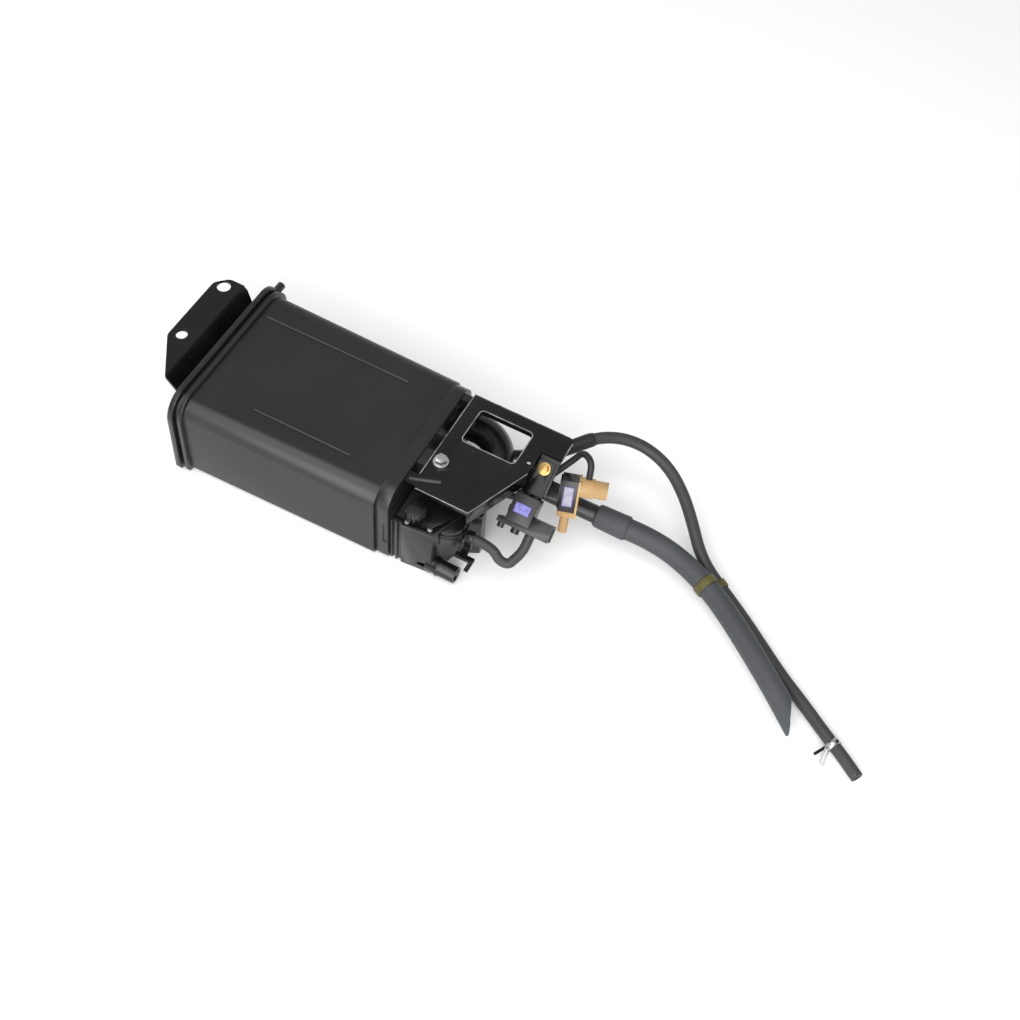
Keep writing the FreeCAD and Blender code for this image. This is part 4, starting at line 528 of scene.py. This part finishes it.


# the top's two raised ribs, coloured paler than the case as a painted highlight
def buildRidges(s):
    bm = bmesh.new()
    for ridge in s["ridges"]:
        along = ridge["start"] + ridge["length"] / 2
        middle = Vector((along, ridge["across"], s["foot"] + s["height"] / 2))
        addBlock(bm, Matrix.Translation(middle * mm), (ridge["length"], s["width"], s["height"]))
    return smooth(showMesh("topRidges", bm, "paintedHighlightRidge"), s["soft"])


# painted highlights along the bends and edges of the right bracket's plate, each from one corner to the next
edgeSettings = {"radius": 0.45, "height": 89.8,
                "lines": [[(120, -51), (171.5, -51)], [(171.5, -51), (196.5, 11)], [(116, 65), (211, 65)],
                          [(116, 65), (116, -36)], [(216.2, 40), (216.2, 60)]]}


def buildEdgeLines(s):
    lines = [[(*corner, s["height"]) for corner in line] for line in s["lines"]]
    return buildWires("plateHighlightLines", lines, s["radius"], "paintedHighlightEdge")


buildWindowRim(windowSettings)
buildRidges(ridgeSettings)
buildEdgeLines(edgeSettings)
print("edges and ridges laid")

# the two loose hoses: each is a tube along one smooth line through its route's control points

purgeSettings = {
    "route": [(175.497, 51, 56), (194.55, 62, 56), (210.5, 78.5, 60.5), (226.2, 98.4, 62.4),
              (247.3, 111.7, 59.9), (271, 116.6, 53.6), (295, 112, 45.5), (317, 97, 38), (336, 77, 31),
              (351, 60, 23), (367, 48.5, 16), (388, 37.5, 12), (412, 23.5, 9.6), (438, 6, 8.2),
              (465, -13, 7.5), (492, -29, 7.2), (518, -46, 7.3), (538, -57.5, 7.2), (556, -70, 7.3)],
    "radius": 5.5, "wall": 2.2,
}
# slant is how far the cut end runs back; along tip, the last of it, under a third of the ring is left
drainSettings = {
    "route": [(256, 42.5, 30), (278, 42.5, 30), (305, 44.5, 28.5), (330, 43.5, 25), (354, 37.5, 22),
              (378, 27, 20.5), (402, 12, 19.6), (427, -6, 18.6), (452, -24.5, 17.2), (475, -42.5, 15.8),
              (496, -60, 14.5)],
    "radius": 10, "wall": 1.8, "slant": 31, "tip": 6, "cutReach": 60,
}


def buildPurgeHose(s):
    bm = tubeMesh("purgeHose", [s["route"]], s["radius"])
    piece = giveWall(smooth(showMesh("purgeHose", bm, "hoseRubber")), s["wall"])
    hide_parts("purge_hose")
    return piece, routeLine(s["route"])


def cutSlanted(bm, line, s):
    # takes off the hose's end along a plane that starts at its tip and slants back across it
    end = line[-1]
    ahead = (end - line[-2]).normalized()
    side = ahead.cross(up).normalized()
    slantLine = (side * 2 * s["radius"] + ahead * s["slant"]) * mm
    verts = [vert for vert in bm.verts if (vert.co - end).length < s["cutReach"] * mm]
    near = set(verts)
    edges = [edge for edge in bm.edges if near.issuperset(edge.verts)]
    faces = [face for face in bm.faces if near.issuperset(face.verts)]
    tip = end + side * s["radius"] * mm
    bmesh.ops.bisect_plane(bm, geom=verts + edges + faces, dist=mergeSettings["cut"] * mm, plane_co=tip,
                           plane_no=up.cross(slantLine).normalized(), clear_outer=True)


def buildDrainHose(s):
    line = routeLine(s["route"])
    bm = tubeMesh("drainHose", [s["route"]], s["radius"])
    cutSlanted(bm, line, s)
    piece = giveWall(smooth(showMesh("drainHose", bm, "drainRubber")), s["wall"])
    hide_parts("drain_hose")
    return piece, line


purgeHose, purgeLine = buildPurgeHose(purgeSettings)
drainHose, drainLine = buildDrainHose(drainSettings)

# what sits on the hoses: start and end are distances along the hose

sleeveSettings = {"start": 2, "end": 66, "inner": 5.8, "outer": 6.6, "swell": 0, "lip": 0.5, "crisp": 20,
                  "steps": 26, "sides": 40}
cuffSettings = {"start": 0.5, "end": 31, "inner": 10.1, "outer": 10.9, "swell": 0.7, "lip": 0.7, "crisp": 24,
                "steps": 30, "sides": 40}


def buildCollar(name, line, material, s):
    # a rubber wall round a stretch of hose, wider by swell at its far end, with rounded lips
    rings = []
    for number in range(s["steps"] + 1):
        share = number / s["steps"]
        centre, ahead = alongLine(line, s["start"] + (s["end"] - s["start"]) * share)
        radius = s["outer"] + s["swell"] * share - s["lip"] * abs(2 * share - 1) ** s["crisp"]
        rings.append((Matrix.Translation(centre) @ turnTo(ahead), radius))
    bm = bmesh.new()
    skinRings(bm, rings, s["sides"])
    faceOutwards(bm)
    return giveWall(smooth(showMesh(name, bm, material)), s["outer"] - s["inner"])


# onDrain and onPurge are the places on the two hoses that the band goes round
bandSettings = {"onDrain": (371.2, 29.9, 20.9), "onPurge": (381.0, 41.2, 13.35), "width": 8, "thick": 1.1,
                "gap": 0.25, "lip": 0.35, "flat": 0.38, "sides": 48}


def buildBand(s):
    # one soft strap that goes round both hoses
    bm = bmesh.new()
    for line, spot, radius in ((drainLine, s["onDrain"], drainSettings["radius"]),
                               (purgeLine, s["onPurge"], purgeSettings["radius"])):
        centre, ahead = alongLine(line, nearestDistance(line, Vector(spot) * mm))
        place = Matrix.Translation(centre) @ turnTo(ahead)
        outer = radius + s["gap"] + s["thick"]
        rings = []
        for shift, inwards in ((-0.5, s["lip"]), (-s["flat"], 0), (s["flat"], 0), (0.5, s["lip"])):
            rings.append((place @ Matrix.Translation((0, 0, shift * s["width"] * mm)), outer - inwards))
        skinRings(bm, rings, s["sides"])
    faceOutwards(bm)
    return giveWall(smooth(showMesh("hoseBand", bm, "oliveBand")), s["thick"])


# of the clamp's two ears, one reaches out to the side and the other stands up
clampSettings = {"width": 6, "thick": 0.9, "gap": 0.3, "fromEnd": 34, "sides": 48,
                 "earReach": 13, "earHeight": 4, "earWidth": 2.6, "earThick": 1.1, "earShift": 1.5,
                 "earSunk": 0.6, "capThick": 2.2, "capHeight": 1.0, "soft": 0.2}
clampSpot, clampAhead = alongLine(purgeLine, runLength(purgeLine) / mm - clampSettings["fromEnd"])
clampSide = clampAhead.cross(up).normalized()
clampRadius = purgeSettings["radius"] + clampSettings["gap"] + clampSettings["thick"]


def buildClampBand(s):
    place = Matrix.Translation(clampSpot) @ turnTo(clampAhead)
    bm = bmesh.new()
    skinRings(bm, [(place @ Matrix.Translation((0, 0, shift * s["width"] * mm)), clampRadius)
                   for shift in (-0.5, 0.5)], s["sides"])
    faceOutwards(bm)
    return giveWall(smooth(showMesh("purgeClamp", bm, "brightZinc")), s["thick"])


def buildClampEars(s):
    bm = bmesh.new()
    lift = clampSide.cross(clampAhead).normalized()
    for forward, reach, way, across in ((-s["earShift"], s["earReach"], clampSide, lift),
                                        (s["earShift"], s["earHeight"], lift, clampSide)):
        middle = clampSpot + (clampAhead * forward + way * (clampRadius + reach / 2 - s["earSunk"])) * mm
        turn = Matrix((across, clampAhead, way)).transposed().to_4x4()
        addBlock(bm, Matrix.Translation(middle) @ turn, (s["earThick"], s["earWidth"], reach))
        top = middle + way * reach / 2 * mm
        addBlock(bm, Matrix.Translation(top) @ turn, (s["capThick"], s["earWidth"], s["capHeight"]))
    faceOutwards(bm)
    return smooth(showMesh("clampEars", bm, "blackCoat"), s["soft"])


# the loop's points: ahead along the hose, out to the near side, and up
loopSettings = {"radius": 0.6, "points": [(2, 0.5, 2), (5, -5, 1), (8.5, -10, -1), (10, -12.5, -2),
                                          (7, -13.8, -2), (4.5, -10, -1), (1, -5, 1), (-2, 0.5, 2)]}


def buildLoop(s):
    # the clamp's open wire loop, beside its band on the near side
    points = []
    for forward, outward, rise in s["points"]:
        spot = clampSpot / mm + clampAhead * forward + clampSide * (clampRadius - outward) + up * rise
        points.append(tuple(spot))
    return buildWires("clampLoop", [points], s["radius"], "brightZinc")


sleeve = buildCollar("purgeSleeve", purgeLine, "blackRubber", sleeveSettings)
cuff = buildCollar("drainCuff", drainLine, "drainRubber", cuffSettings)
band = buildBand(bandSettings)
clampBand = buildClampBand(clampSettings)
clampEars = buildClampEars(clampSettings)
clampLoop = buildLoop(loopSettings)
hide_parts("purge_sleeve")
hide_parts("hose_band")
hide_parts("purge_clamp")

# along its tip only the long side of the slanted hose is left; the declared path stops before it
print("hoses laid:", round(runLength(purgeLine), 3), round(runLength(drainLine), 3))

# floor and studio light, in metres

stageSettings = {
    "floor": {"colour": (0.97, 0.97, 0.97), "roughness": 0.9, "halfWidth": 6, "drop": 0.0002},
    "world": 0.55,
    "aim": (0.15, 0, 0),
    "lights": [
        {"name": "ceiling", "place": (0.3, -0.8, 1.9), "size": 2.0, "power": 27},
        {"name": "nearSide", "place": (0.7, -1.8, 0.9), "size": 1.6, "power": 35},
        {"name": "leftSide", "place": (-1.7, -0.3, 1.2), "size": 1.4, "power": 8},
    ],
}


def buildFloor(s):
    bm = bmesh.new()
    bmesh.ops.create_grid(bm, x_segments=1, y_segments=1, size=s["halfWidth"])
    mesh = bpy.data.meshes.new("floor")
    bm.to_mesh(mesh)
    bm.free()
    floor = bpy.data.objects.new("floor", mesh)
    floor.location.z = -s["drop"]
    material = bpy.data.materials.new("paleFloor")
    material.use_nodes = True
    shader = material.node_tree.nodes["Principled BSDF"]
    shader.inputs["Base Color"].default_value = (*s["colour"], 1)
    shader.inputs["Roughness"].default_value = s["roughness"]
    mesh.materials.append(material)
    scene.collection.objects.link(floor)


def lightStage(s):
    world = bpy.data.worlds.new("studio")
    world.use_nodes = True
    background = world.node_tree.nodes["Background"]
    background.inputs["Color"].default_value = (1, 1, 1, 1)
    background.inputs["Strength"].default_value = s["world"]
    scene.world = world
    for light in s["lights"]:
        data = bpy.data.lights.new(light["name"], "AREA")
        data.shape = "SQUARE"
        data.size = light["size"]
        data.energy = light["power"]
        lamp = bpy.data.objects.new(light["name"], data)
        lamp.location = light["place"]
        ray = Vector(s["aim"]) - Vector(light["place"])
        lamp.rotation_euler = ray.to_track_quat("-Z", "Y").to_euler()
        scene.collection.objects.link(lamp)


buildFloor(stageSettings["floor"])
lightStage(stageSettings)
scene.view_settings.view_transform = "Standard"
print("stage lit")
